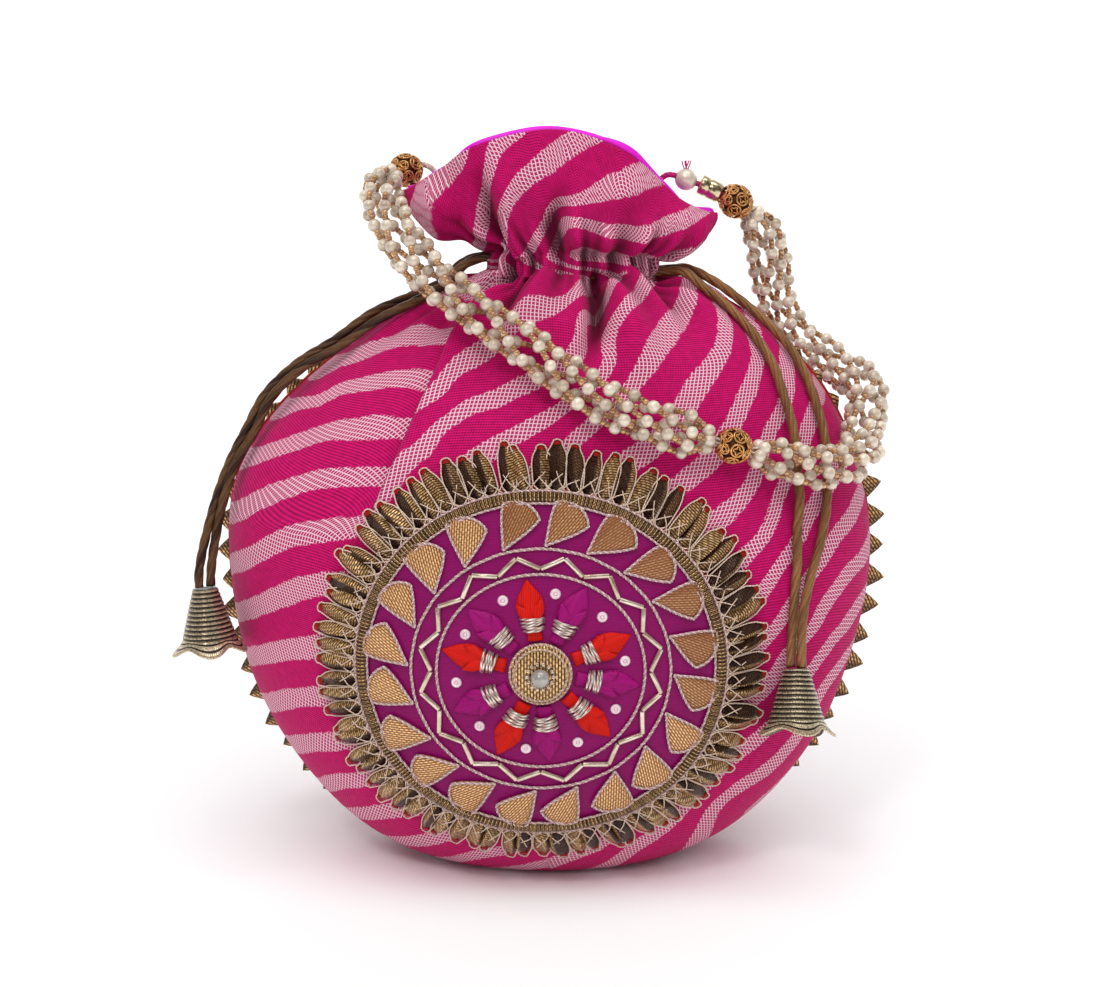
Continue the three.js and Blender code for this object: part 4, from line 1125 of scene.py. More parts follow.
BODY_FOLDS = (
    Fold(((14.5, 187), (14.5, 180), (14.2, 173), (12.0, 166), (8.0, 157)), 2.6, -7.0),
    Fold(((0.0, 184), (-0.4, 178), (3.0, 170), (5.0, 160)), 9.0, 3.4),
    Fold(((23.0, 182), (24.0, 176), (27.0, 166), (30.0, 154)), 6.5, 3.0),
    Fold(((32.0, 184), (37.0, 177), (44.0, 168), (50.0, 156)), 3.4, -3.2),
    Fold(((40.0, 180), (49.0, 170), (58.0, 158)), 5.0, 1.8),
    Fold(((-9.0, 186), (-13.0, 178), (-17.0, 169), (-20.0, 156)), 2.6, -3.2),
    Fold(((-17.0, 184), (-24.0, 177), (-30.0, 168)), 3.6, 1.4),
    Fold(((-60.0, 160), (-72.0, 142), (-80.0, 120)), 9.0, -1.2),
    Fold(((64.0, 150), (72.0, 132), (77.0, 110)), 9.0, -1.0),
)
MOUTH_FOLDS = (
    Fold(((-14.0, 194), (-18.0, 204), (-21.0, 214), (-20.0, 224)), 3.0, -4.0),
    Fold(((-6.0, 194), (-12.0, 206), (-14.0, 218), (-10.0, 226)), 4.5, 2.6),
    Fold(((2.0, 192), (1.0, 200), (3.0, 208), (8.0, 214)), 3.4, -4.6),
    Fold(((4.0, 204), (14.0, 207), (26.0, 212), (34.0, 216)), 5.0, 2.8),
    Fold(((10.0, 198), (22.0, 198), (34.0, 200), (46.0, 205)), 5.0, 4.6),
    Fold(((8.0, 192), (20.0, 191), (34.0, 192)), 2.4, -3.6),
    Fold(((-30.0, 198), (-34.0, 208), (-34.0, 216)), 6.0, 2.4),
    Fold(((-24.0, 193), (-27.0, 200), (-28.0, 208)), 2.6, -2.6),
    Fold(((-33.0, 196), (-38.0, 202), (-42.0, 208), (-44.0, 216)), 7.0, 4.2),
    Fold(((38.0, 193), (42.0, 198), (46.0, 203), (47.0, 210)), 6.0, 3.6),
)
CREASE = (
    (183.7, -14.8), (177.8, -21.1), (168.3, -28.7), (155.8, -35.0), (142.1, -41.5), (130.3, -46.9), (119.0, -52.3),
    (112.0, -57.0), (100.0, -54.0), (80.0, -34.0), (60.0, -14.0), (30.0, -2.0), (0.0, 0.0),
)


@dataclass
class ClothBody:
    """The two cloth panels of the pouch and its ruffled mouth, with the lining inside."""

    form: BagForm
    thickness: float = 0.9
    body_rows: int = 150
    mouth_rows: int = 44
    left_columns: int = 60
    right_columns: int = 122
    back_columns: int = 120
    gathers: int = 20
    gather_depth: float = 3.3
    seam_gap: float = 0.7

    def gather(self, angle: np.ndarray, t: np.ndarray) -> np.ndarray:
        """How far the drawn-up cloth stands out in gathers round the neck.

        Args:
            angle: The turns.
            t: How far up each is.

        Returns:
            The height of the gathers.
        """
        f = self.form
        z = f.smooth_point(angle, t)[..., 2]
        below = smooth(z, f.casing_bottom - 30, f.casing_bottom - 1)
        above = 1 - smooth(z, f.casing_bottom + f.casing_height, f.casing_bottom + f.casing_height + 16)
        near = smooth(z, f.casing_bottom - 9, f.casing_bottom) * above
        uneven = 0.78 + 0.22 * np.sin(5 * angle + 1)
        broad = self.gather_depth * below * above * uneven * (0.5 + 0.5 * np.cos(self.gathers * angle))
        fine = 0.8 * near * np.cos(47 * angle + 3 * np.sin(3 * angle)) * (0.6 + 0.4 * np.sin(9 * angle + 2))
        return broad + fine

    def folds(self, t: np.ndarray, x: np.ndarray, z: np.ndarray) -> np.ndarray:
        """How far the front cloth's drawn folds lift it.

        Args:
            t: How far up each point is.
            x: Its place across.
            z: Its height.

        Returns:
            The lift at each.
        """
        f = self.form
        clear = smooth(np.hypot((x - f.roundel_x) * 1.03, (z - f.roundel_z) * 1.06), 67, 76)
        body = sum(fold.lift(x, z) for fold in BODY_FOLDS) * (1 - smooth(t, 1.0, 1.6)) * clear
        return body + sum(fold.lift(x, z) for fold in MOUTH_FOLDS) * smooth(t, 1.6, 2.1)

    def rows(self) -> np.ndarray:
        """How far up each row of the cloth is.

        Returns:
            The t of each row.
        """
        body = np.linspace(0, 1, self.body_rows)
        casing = np.linspace(1, 2, 9)[1:]
        return np.concatenate([body, casing, np.linspace(2, 3, self.mouth_rows)[1:]])

    def seam_turn(self, t: np.ndarray, shift: float) -> np.ndarray:
        """How far the seam is turned back from the bag's side, in each row.

        Args:
            t: The rows.
            shift: How far behind the seam line to measure.

        Returns:
            The turn at the right, and minus it at the left.
        """
        _, y, _, front, back, z = self.form.rings(t, np.zeros_like(t))
        past = self.form.seam_y(z) + shift - y
        return np.arcsin(np.clip(np.where(past > 0, past / (back - y), past / (y - front)), -1, 1))

    def shade(self, t: np.ndarray, lift: np.ndarray) -> np.ndarray:
        """How much painted shade darkens the cloth: round the neck, more where it lies lower than the gathers beside
        it, and in the deep valleys of its folds, where light barely reaches.

        Args:
            t: How far up each point is.
            lift: How far each point is lifted.

        Returns:
            The share of the painted crease shade.
        """
        near = smooth(t, 0.8, 0.97) * (1 - smooth(t, 2.1, 2.7))
        around = sum(np.roll(lift, k, axis=1) for k in range(-5, 6)) / 11
        return np.clip(near * (0.4 + 0.46 * (around - lift)) + 0.14 * np.maximum(-lift - 1, 0) * (t < 2.9), 0, 0.86)

    def panel(self, angle: np.ndarray, t: np.ndarray, lift: np.ndarray, stripe: np.ndarray, turn: np.ndarray,
              name: str, node: str) -> bpy.types.Object:
        """Makes one panel of cloth from its grid.

        Args:
            angle: The turn of each point.
            t: How far up each point is.
            lift: How far each point is lifted off the smooth form.
            stripe: The stripe phase of each point.
            turn: How far the threads are turned from level.
            name: The piece's name.
            node: The solid that it stands for.

        Returns:
            The piece.
        """
        top = self.form.point(angle, t, lift)
        bottom = self.form.point(angle, t, lift - self.thickness)
        # The tone is painted shade, darkest in the gathers round the neck.
        tone = self.shade(t, lift)
        base = np.array([0.0, 0.45, 0.8])[:, None, None]
        if node == "front_panel":
            middle = np.array([0.0, 5.0, 0.5])
            discs = [middle + (grid[:1] - middle) * base for grid in (top, bottom)]
            top, bottom = np.concatenate([discs[0], top]), np.concatenate([discs[1] + [0, 0, 0.9], bottom])
            stripe, turn, tone = (np.concatenate([np.repeat(a[:1], 3, axis=0), a]) for a in (stripe, turn, tone))
        row = np.linalg.norm(np.diff(top, axis=1), axis=2)
        across = np.concatenate([np.zeros((len(top), 1)), np.cumsum(row, axis=1)], axis=1)
        across -= across[:, self.left_columns : self.left_columns + 1]
        column = np.linalg.norm(np.diff(top, axis=0), axis=2)
        up = np.concatenate([np.zeros((1, top.shape[1])), np.cumsum(column, axis=0)])
        weave = stack(across * np.cos(turn) + up * np.sin(turn), up * np.cos(turn) - across * np.sin(turn))
        skin = Skin()
        skin.slab(top, bottom, weave=weave, stripe=stripe, tone=tone)
        return skin.piece(name, Finish.CLOTH, replaces=[node])

    def front(self) -> bpy.types.Object:
        """Makes the front panel, with the long pleat on its left and the folds below the neck.

        Returns:
            The piece made.
        """
        f = self.form
        t = self.rows()[:, None]
        seam = self.seam_turn(t, -self.seam_gap)
        height = f.rings(t, np.full_like(t, -np.pi / 2))[5]
        low = np.minimum(height, f.casing_bottom)
        place = np.interp(low, [a for a, _ in CREASE][::-1], [b for _, b in CREASE][::-1])
        pleat = -np.arccos(np.clip((place - f.middle_x(low)) / f.half(low), -1, 1))
        near = smooth(height, 112, 124) * (1 - smooth(height, 172, 183))
        half = f.half(low)
        left = np.linspace(0, 1, self.left_columns)[None] ** 0.9
        right = np.linspace(0, 1, self.right_columns)[None] ** 1.06
        tuck = 3.0 * near / half
        angle = np.concatenate([
            -np.pi - seam + (pleat + tuck + np.pi + seam) * left,
            pleat + (seam - pleat) * right,
        ], axis=1)
        t = np.broadcast_to(t, angle.shape)
        flat = f.smooth_point(angle, t)
        x, z = flat[..., 0], flat[..., 2]
        from_pleat = np.abs(angle - pleat) * half
        is_left = np.arange(angle.shape[1])[None] < self.left_columns
        bulge = 2.3 * np.exp(-from_pleat / 8) - 1.0 * np.exp(-from_pleat / 0.8)
        step = np.where(is_left, -1.6 * np.exp(-from_pleat / 9), bulge)
        across, upwards = x - f.roundel_x, z - f.roundel_z
        clear = smooth(np.hypot(across * 1.03, upwards * 1.06), 67, 76)
        slack = 0.5 * np.sin(x / 13 + z / 17) * np.sin(z / 21 - x / 31 + 1) * smooth(z, 6, 30)
        lift = self.gather(angle, t) + (near * step + slack * (t < 1.9)) * clear + self.folds(t, x, z)
        lift = lift * smooth(np.minimum(angle + np.pi + seam, seam - angle) * half, -0.1, 5) ** 0.5
        body = np.where(is_left, StripeField(LEFT_STRIPES).phase(x, z), StripeField(RIGHT_STRIPES).phase(x, z))
        blend = smooth(t, 1.0, 1.95)
        stripe = body * (1 - blend) + StripeField(MOUTH_STRIPES).phase(x, z) * blend
        slant = np.where(is_left, -0.62, 0.16)
        return self.panel(angle, t, lift, stripe, slant + 0 * angle, "front_cloth", "front_panel")

    def back(self) -> bpy.types.Object:
        """Makes the back panel.

        Returns:
            The piece made.
        """
        f = self.form
        t = self.rows()
        open_from = np.argmax(self.seam_turn(t, self.seam_gap) < 1.45)
        t = t[open_from:, None]
        seam = self.seam_turn(t, self.seam_gap)
        angle = seam + (np.pi - 2 * seam) * np.linspace(0, 1, self.back_columns)[None]
        t = np.broadcast_to(t, angle.shape)
        flat = f.smooth_point(angle, t)
        x, z = flat[..., 0], flat[..., 2]
        half = f.half(np.minimum(z, f.casing_bottom))
        slack = 0.9 * np.sin(x / 15 + z / 23) * np.sin(z / 19 - x / 27) * smooth(z, 6, 30)
        pleats = 1.6 * smooth(z, 120, 178) * np.sin(x / 6.5 + np.sin(z / 20)) * (1 - smooth(t, 1.0, 1.8))
        ruffle = 0.7 * smooth(t, 2.1, 3.0) * (1 + np.sin(7 * angle + 0.8 * np.sin(3 * angle)))
        lift = self.gather(angle, t) + (slack + pleats) * (t < 1.9) + ruffle
        lift = lift * smooth(np.minimum(angle - seam, np.pi - seam - angle) * half, -0.1, 5) ** 0.5
        stripe = (z * 0.93 - x * 0.36 + 5 * np.sin(x / 29)) / 17 + smooth(t, 1.4, 1.6) * (x / 14 - z / 30)
        return self.panel(angle, t, lift, stripe, 0 * angle - 0.35, "back_cloth", "back_panel")

    def lining(self) -> bpy.types.Object:
        """Makes the satin lining, with its rolled lip along the rim.

        Returns:
            The piece made.
        """
        f = self.form
        t = np.concatenate([np.linspace(0, 1, 46), np.linspace(1, 2, 7)[1:], np.linspace(2, 3.03, 18)[1:]])[:, None]
        angle = np.broadcast_to(np.linspace(0, TAU, 140, endpoint=False)[None], (len(t), 140))
        t = np.broadcast_to(t, angle.shape)
        casing = smooth(t, 0.9, 1) * (1 - smooth(t, 2, 2.3))
        flat = f.smooth_point(angle, t)
        pushed = np.where(np.sin(angle) < 0, np.maximum(-self.folds(t, flat[..., 0], flat[..., 2]), 0), 0)
        depth = 1.4 + 0.5 + 4.7 * casing + 1.15 * pushed
        pleats = 0.9 * smooth(t, 0.75, 1) * (1 - smooth(t, 2.3, 3)) * (0.5 + 0.5 * np.cos(28 * angle))
        outer = f.point(angle, t, -depth - pleats)
        inner = f.point(angle, t, -depth - pleats - 0.8)
        middle = np.array([0.0, 5.0, 1.9])
        share = np.array([0.0, 0.5])[:, None, None]
        outer, inner = (np.concatenate([middle + [0, 0, up] + (g[:1] - middle) * share, g])
                        for g, up in ((outer, 0.0), (inner, 0.8)))
        at = along(outer[:, 0])
        skin = Skin()
        skin.slab(outer, inner, True, weave=stack(angle[0][None] * 40, at[:, None]))
        turn = np.linspace(0, TAU, 200, endpoint=False)
        shown = smooth(np.cos(turn), 0.0, 0.5)
        lip = f.point(turn, 2.95 + 0.085 * shown, -1.6) + [0, 0, 0.2]
        size = 0.4 + 0.85 * shown
        skin.tube(lip, size, 8, np.tile([0.0, 0.0, 1.0], (200, 1)), True)
        return skin.piece("lining_cloth", Finish.LINING, replaces=["lining"])

    def build(self) -> list[bpy.types.Object]:
        """Makes the cloth.

        Returns:
            The front, the back and the lining.
        """
        front, back, lining = self.front(), self.back(), self.lining()
        return [front, back, lining]


@dataclass
class SeamTrim:
    """Folded ribbon points sewn into the side seam, with a thin red piping beside them."""

    form: BagForm
    points: int = 52
    height: float = 5.4
    tucked_above: float = 84
    tucked_height: float = 3.8
    thickness: float = 0.9
    top_height: float = 170
    pressed: tuple[float, float] = (132, 168)
    pressed_height: float = 2.4
    off_floor: float = 0.8
    piping_radius: float = 0.75

    def outline(self) -> np.ndarray:
        """The seam's run from the neck's right, down, under and up the left, as points on the bag's edge.

        Returns:
            The points in order.
        """
        f = self.form
        run = curve(SEAM_RUN, 0.4)
        run = run[run[:, 2] < self.top_height]
        y, z = run[:, 1], np.maximum(run[:, 2], 0)
        mid = f.middle_y(z)
        reach = np.where(y < mid, (mid - y) / (mid - f.front(z)), (y - mid) / (f.back(z) - mid))
        keep = reach < 1
        half = f.half(z)[keep] * np.sqrt(1 - reach[keep] ** 2)
        shift = f.middle_x(z)[keep]
        right = stack(shift + half, y[keep], run[keep, 2])
        left = stack(shift - half, y[keep], run[keep, 2])[::-1]
        return np.vstack([right, left])

    def build(self) -> list[bpy.types.Object]:
        """Makes the points and the piping.

        Returns:
            The pieces made.
        """
        line = self.outline()
        fine = respaced(line, 0.5)
        at = along(fine)
        stops = np.linspace(0, at[-1], 2 * self.points + 1)
        spot = np.stack([np.interp(stops, at, fine[:, k]) for k in range(3)], axis=1)
        tangent = unit(np.gradient(fine, axis=0))
        heading = unit(np.stack([np.interp(stops, at, tangent[:, k]) for k in range(3)], axis=1))
        skin = Skin()
        for i in range(1, len(spot), 2):
            run = heading[i]
            facing = unit(np.array([0.0, -1.0, 0.0]) - run * (-run[1]))
            out = unit(np.cross(run, facing))
            if out @ (spot[i] - [0, spot[i, 1], 90]) < 0:
                out = -out
            pressed = spot[i, 0] > 0 and self.pressed[0] < spot[i, 2] < self.pressed[1]
            tucked = spot[i, 0] < 0 and spot[i, 2] > self.tucked_above
            reach = self.tucked_height if tucked else self.pressed_height if pressed else self.height
            reach = reach * (1 + 0.12 * math.sin(2.1 * i))
            lowest = (self.off_floor - spot[i, 2]) / (reach + 1)
            if out[2] < lowest:
                out = unit(np.array([out[0], math.sqrt(max(0.0, 1 - out[0] ** 2 - lowest**2)), lowest]))
                facing = unit(np.cross(run, out))
                facing = facing if facing[2] > 0 else -facing
            half = 0.5 * np.linalg.norm(spot[min(i + 1, len(spot) - 1)] - spot[i - 1])
            q, s = np.linspace(0, 1, 7)[:, None], np.linspace(-1, 1, 9)[None]
            wide = half * (1 - q) ** 0.85 + 0.12
            base = spot[i] - out * 1.0
            flat = (base + run * (wide * s)[..., None] + out * (q * (reach + 1.0) + 0 * s)[..., None]
                    + run * (0.5 * math.sin(1.7 * i) * q + 0 * s)[..., None])
            rise = self.thickness * (1 - np.abs(s - 0.25) * 0.75) * (1 - 0.6 * q) * (0.6 + 0.4 * np.sin(q * 3))
            weave = stack(wide * s * 0.6 + q * reach * 0.5, (q * reach - wide * s * 0.5) * 0.62)
            # Painted shade: one side of each folded point is darkened; the rest is uneven tone from point to point.
            tone = 0.1 + 0.62 * (s > 0.2) + 0 * q + 0.1 * math.sin(3.3 * i)
            under = flat - facing * (0.3 + 0 * rise)[..., None]
            skin.slab(flat + facing * rise[..., None], under, weave=weave, tone=tone)
        trim = skin.piece("seam_points", Finish.RIBBON, replaces=["seam_trim"])
        piping = Skin()
        piping.tube(respaced(line, 2.5), self.piping_radius, 7)
        return [trim, piping.piece("seam_piping", Finish.PIPING)]


@dataclass
class Roundel:
    """The embroidered roundel: satin disc, ribbon frill, braid, leaves, bugles, ribbon petals and button."""

    form: BagForm
    disc_radius: float = 54.6
    disc_back: float = 0.55
    disc_face: float = 2.55
    on_disc: float = 2.7
    frill_petals: int = 76
    frill_width: float = 15.0
    leaves: int = 20
    leaf_length: float = 14.8
    leaf_spread: float = math.radians(52)
    leaf_lean: float = math.radians(38)
    leaf_start: float = math.radians(88)
    vine_radius: float = 37.4
    inner_radius: float = 29.9
    bugles: int = 32
    bugle_radius: float = 33.4
    bugle_reach: float = 1.9
    petals: int = 10
    petal_start: float = math.radians(98)
    petal_root: float = 10.2
    petal_tip: float = 28.6
    binding_radius: float = 15.2
    sequin_ring: float = 24.4
    seeds: int = 14

    def disc(self) -> bpy.types.Object:
        """Makes the satin ground, with a slight ripple inside its rim.

        Returns:
            The piece made.
        """
        r = np.array([0, 4, 9, 14, 19, 24, 29, 34, 39, 44, 48, 51, 53.5, 54.6])[:, None]
        a = np.linspace(0, TAU, 128, endpoint=False)[None]
        pull = 0.12 * np.sin(9 * a + r / 5) * np.sin(r / 6) * (r < 50)
        top = self.form.polar(r + 0 * a, a + 0 * r, self.disc_face + pull)
        bottom = self.form.polar(r + 0 * a, a + 0 * r, self.disc_back + 0 * pull)
        skin = Skin()
        skin.slab(top, bottom, True, weave=stack(r * np.cos(a), r * np.sin(a)))
        return skin.piece("satin_ground", Finish.ROUNDEL, replaces=["roundel_disc"])

    def sequins(self) -> bpy.types.Object:
        """Makes the small pearly sequins between the ribbon petals.

        Returns:
            The piece made.
        """
        f = self.form
        skin = Skin()
        for k in range(self.petals):
            a = (k + 0.5) / self.petals * TAU + self.petal_start
            u, v = self.sequin_ring * math.cos(a), self.sequin_ring * math.sin(a)
            up = f.off_front(u, v)
            at = f.on_front(u, v, self.disc_face)
            profile = [(0.45, 0.05), (1.35, 0.05), (1.62, 0.3), (1.35, 0.7), (0.9, 0.8), (0.55, 0.55), (0.45, 0.05)]
            skin.lathe(profile, 20, at, up, tone=0.3 + 0.3 * math.sin(k * 2.4))
            skin.ball(at + up * 0.35, 0.5, 10, tone=0.1)
        return skin.piece("sequins", Finish.SEQUIN)

    def frill(self) -> list[bpy.types.Object]:
        """Makes the frill of folded ribbon petals, their wire edges and the loops at their tips.

        Returns:
            The pieces made.
        """
        f = self.form
        ribbon, wire, inside = Skin(), Skin(), Skin()
        inner = self.disc_radius + 0.2
        pitch = TAU / self.frill_petals
        q = np.linspace(0, 1, 11)[:, None]
        s = np.linspace(-1, 1, 9)[None]
        for j in range(self.frill_petals):
            a = j * pitch + 0.12 * pitch * math.sin(2.9 * j)
            length = self.frill_width - 1.9 - 0.7 * math.sin(1.7 * j) - 0.4 * math.sin(4.1 * j)
            lean = 1.1 * math.sin(2.3 * j) + 0.8
            body = np.interp(q, [0, 0.3, 0.6, 0.8, 0.93, 1], [2.3, 2.6, 2.75, 2.45, 1.8, 1.2])
            wide = body * (1 + 0.1 * math.sin(5 * j))
            r = inner + length * q + 0 * s
            shift = lean * q**1.5 + wide * s
            ridge = -0.08 + 0.42 * math.sin(3 * j)
            roof = np.where(s < ridge, (s + 1) / (ridge + 1), (1 - s) / (1 - ridge))
            high = 3.3 * np.sin(np.pi * (0.2 + 0.66 * q)) ** 1.1
            h = 0.8 + 1.2 * (1 - q) + high * roof + 0.35 * np.sin(2.5 * j + 9 * q) * (1 - np.abs(s))
            h = np.maximum(h * (1 - 0.45 * q**5), 0.75)
            top = f.polar(r, a + shift / r, h)
            bottom = f.polar(r, a + shift / r, np.full_like(h, 0.35))
            weave = stack(length * q * 0.25 + shift * 0.8, (length * q + shift * 0.45 * math.sin(j)) * 0.72)
            # Painted shade: the face of each petal past its ridge is darkened, strongly on most petals. Painted dark
            # reflection: the other face is darkened on the petals round the top of the roundel. Every petal is also
            # darker in stripes near its root.
            dark = 0.95 if math.sin(3.7 * j) > -0.6 else 0.3
            upper = 0.78 * max(0.0, math.sin(a + 0.25)) ** 1.2 * (0.5 + 0.5 * math.sin(5.3 * j))
            tone = np.where(s > ridge, dark, 0.04 + upper) + 0.5 * (1 - smooth(q, 0, 0.4)) * np.sin(5 * s + j) ** 2
            ribbon.slab(top, bottom, weave=weave, tone=np.clip(tone + 0 * q, 0, 1))
            tip = inner + length
            turn = np.linspace(-0.62 * math.pi, 0.62 * math.pi, 11)
            left_r, right_r = r[:-2, 0], r[:-2, -1][::-1]
            loop_r = tip + 0.2 + 0.9 * np.cos(turn)
            rr = np.concatenate([[inner - 0.3], left_r[1:], loop_r, right_r[:-1], [inner - 0.3]])
            loop_cross = lean + 1.45 * np.sin(turn)
            cross = np.concatenate([[-0.6], shift[1:-2, 0], loop_cross, shift[:-2, -1][::-1][:-1], [0.9]])
            share = np.clip((rr - inner) / length, 0, 1)
            loop_lift = np.concatenate([np.zeros(9), 0.5 + 0.5 * np.sin(turn), np.zeros(9)])
            hh = 1.35 + 2.3 * (1 - share) ** 1.5 + 0.5 * loop_lift
            wire.tube(respaced(f.polar(rr, a + cross / rr, hh), 0.9), 0.23, 5)
            rim = np.linspace(0, TAU, 12, endpoint=False)
            rings = np.array([0.0, 0.85])[:, None]
            eye_r = tip + 0.1 + 0.95 * rings * np.cos(rim)
            eye_a = a + (lean + 1.35 * rings * np.sin(rim)) / tip
            inside.slab(f.polar(eye_r, eye_a, 1.15 + 0 * eye_r), f.polar(eye_r, eye_a, 0.3 + 0 * eye_r), True)
        for k in range(2 * self.frill_petals):
            a = (k + 0.5) * pitch / 2
            sway = (1 if k % 2 else -1) * (2.1 + 0.5 * math.sin(3 * k))
            reach = np.array([inner - 0.4, inner + 2.0, inner + 4.6 + math.sin(2 * k)])
            path = f.polar(reach, a + np.array([-sway, 0.3, sway]) / 57, np.array([3.1, 4.4, 4.3]))
            wire.tube(respaced(path, 1.2), 0.17, 4)
        ring = np.linspace(0, TAU, 180, endpoint=False)
        away = f.off_front(inner * np.cos(ring), inner * np.sin(ring))
        inside.tube(f.polar(inner + 0.1, ring, 1.7), 0.9, 6, away, True)
        return [
            ribbon.piece("frill_ribbon", Finish.RIBBON, replaces=["roundel_frill"]),
            wire.piece("frill_wire", Finish.ROSE),
            inside.piece("frill_lining", Finish.PIPING),
        ]

    def ring(self, radius: float, height: float, n: int = 240) -> tuple[np.ndarray, np.ndarray]:
        """The n points of a ring on the roundel, at a height off the cloth, and the direction off it at each."""
        a = np.linspace(0, TAU, n, endpoint=False)
        return self.form.polar(radius, a, height), self.form.off_front(radius * np.cos(a), radius * np.sin(a))

    def braid(self) -> list[bpy.types.Object]:
        """Makes the ribbed braid between the frill and the satin, and its two edge cords.

        Returns:
            The pieces made.
        """
        f = self.form
        ribs = 290
        n = ribs * 4
        a = np.linspace(0, TAU, n, endpoint=False)[:, None]
        s = np.linspace(-1, 1, 7)[None]
        beat = 0.5 + 0.5 * np.cos(ribs * a)
        r = self.disc_radius - 1.95 + 1.75 * s + 0 * a
        crown = np.sqrt(np.maximum(1 - s**2, 0)) * (1.0 + 0.55 * beat) + 0.2
        top = f.polar(r, a + 0 * s, self.on_disc + crown)
        bottom = f.polar(r, a + 0 * s, self.on_disc - 0.1 + 0 * crown)
        sections = np.concatenate([top, bottom[:, ::-1]], axis=1)
        weave = stack(s * 1.75 + 0 * a, a * 52.5 + 0 * s)
        skin = Skin()
        # Painted shade darkens the ribbon between its ribs; the rest is uneven tone along the ring.
        skin.grid(sections, True, True, weave=np.concatenate([weave, weave[:, ::-1]], axis=1),
                  tone=np.concatenate([(1 - beat) ** 1.5 * 0.9 + 0.25 * np.sin(37 * a) ** 2 + 0 * s] * 2, axis=1))
        edge = Skin()
        for radius in (self.disc_radius - 0.15, self.disc_radius - 3.9):
            line, up = self.ring(radius, self.on_disc + 0.75, 360)
            sway = 0.14 * np.cos(np.linspace(0, 90 * TAU, 360, endpoint=False))
            edge.twist(line + up * sway[:, None], 0.42, up, 2.0)
        return [skin.piece("braid", Finish.RIBBON, replaces=["roundel_braid"]),
                edge.piece("braid_edges", Finish.SILVER)]

    def leaf_place(self, k: int) -> tuple[np.ndarray, float]:
        """Where a leaf's point is and where its axis points.

        Args:
            k: Which leaf it is.

        Returns:
            The point, and the turn of the leaf's axis.
        """
        a = self.leaf_start - k / self.leaves * TAU
        tip = self.vine_radius + 0.9
        return np.array([tip * math.cos(a), tip * math.sin(a)]), a - self.leaf_lean

    def leaf_parts(self) -> list[bpy.types.Object]:
        """Makes the cone-folded leaves and the twisted cord round each.

        Returns:
            The pieces made.
        """
        f = self.form
        made = []
        cords = Skin()
        q, s = np.linspace(0, 1, 12)[:, None], np.linspace(-1, 1, 13)[None]
        for k in range(self.leaves):
            tip, axis = self.leaf_place(k)
            axis += 0.05 * math.sin(2.6 * k)
            spread = self.leaf_spread * (1 + 0.06 * math.sin(1.9 * k))
            reach = self.leaf_length * (1 - 0.1 * s**2 - 0.05 * s * math.sin(k)) * (1 + 0.03 * math.sin(3.1 * k))
            turn = axis + spread / 2 * s * (1 + 0.12 * np.sin(np.pi * q))
            length = q * reach
            u, v = tip[0] + length * np.cos(turn), tip[1] + length * np.sin(turn)
            dome = (1 - s**4) * np.sin(np.pi * np.clip(q * 0.93, 0, 1)) ** 0.6
            fold = 0.35 * smooth(s, 0.45, 0.5) * q
            h = self.on_disc + 0.45 + 0.85 * dome + fold + 0.1 * np.sin(k)
            top = f.on_front(u, v, h)
            bottom = f.on_front(u, v, self.on_disc - 0.1 + 0 * h)
            # Painted dark reflection: the leaves at the top and upper right of the roundel are darkened. Painted shade:
            # each leaf's folded-over side is a little darker.
            painted_dark_reflection = 0.62 if k in (19, 1, 2, 3, 4) else 0.45 if k in (0, 5) else 0.0
            skin = Skin()
            grain = stack(length * np.cos(turn - axis), length * np.sin(turn - axis))
            skin.slab(top, bottom, weave=grain, tone=painted_dark_reflection + 0.12 * (s > 0.47) + 0 * q)
            made.append(skin.piece(f"leaf_ribbon_{k + 1}", Finish.LEAF, replaces=[f"leaf_{k + 1}"]))
            rim_u = np.concatenate([u[:, 0], u[-1, 1:], u[::-1, -1][1:-1]])
            rim_v = np.concatenate([v[:, 0], v[-1, 1:], v[::-1, -1][1:-1]])
            line = f.on_front(rim_u, rim_v, self.on_disc + 0.95)
            cords.twist(line, 0.46, f.off_front(rim_u, rim_v), 1.9)
        made.append(cords.piece("leaf_cords", Finish.SILVER))
        return made

    def vine(self) -> list[bpy.types.Object]:
        """Makes the two rings of twisted cord and the zigzag of bugle beads between them.

        Returns:
            The pieces made.
        """
        f = self.form
        line_u, line_v = [], []
        for k in range(self.leaves):
            tip, _ = self.leaf_place(k)
            after, _ = self.leaf_place(k + 1)
            share = np.linspace(0, 1, 12, endpoint=False)[:, None]
            run = tip + (after - tip) * share
            sag = unit(run) * (0.9 * np.sin(np.pi * share) - 0.9 - 0.5 * np.sin(np.pi * share) ** 2)
            line_u.append((run + sag)[:, 0])
            line_v.append((run + sag)[:, 1])
        u, v = np.concatenate(line_u), np.concatenate(line_v)
        vine, inner, beads = Skin(), Skin(), Skin()
        vine.twist(f.on_front(u, v, self.on_disc + 0.5), 0.5, f.off_front(u, v), 2.1)
        line, up = self.ring(self.inner_radius, self.on_disc + 0.5, 200)
        inner.twist(line, 0.5, up, 2.1)
        for k in range(self.bugles):
            ends = []
            for m in (k, k + 1):
                r = self.bugle_radius + (self.bugle_reach if m % 2 else -self.bugle_reach)
                ends.append(r * np.array([math.cos(m / self.bugles * TAU), math.sin(m / self.bugles * TAU)]))
            a, b = ends
            a, b = a + (b - a) * 0.02, a + (b - a) * 0.98
            at = f.on_front(*((a + b) / 2), self.on_disc + 0.62)
            run = f.on_front(*b, self.on_disc + 0.62) - f.on_front(*a, self.on_disc + 0.62)
            long = np.linalg.norm(run) / 2
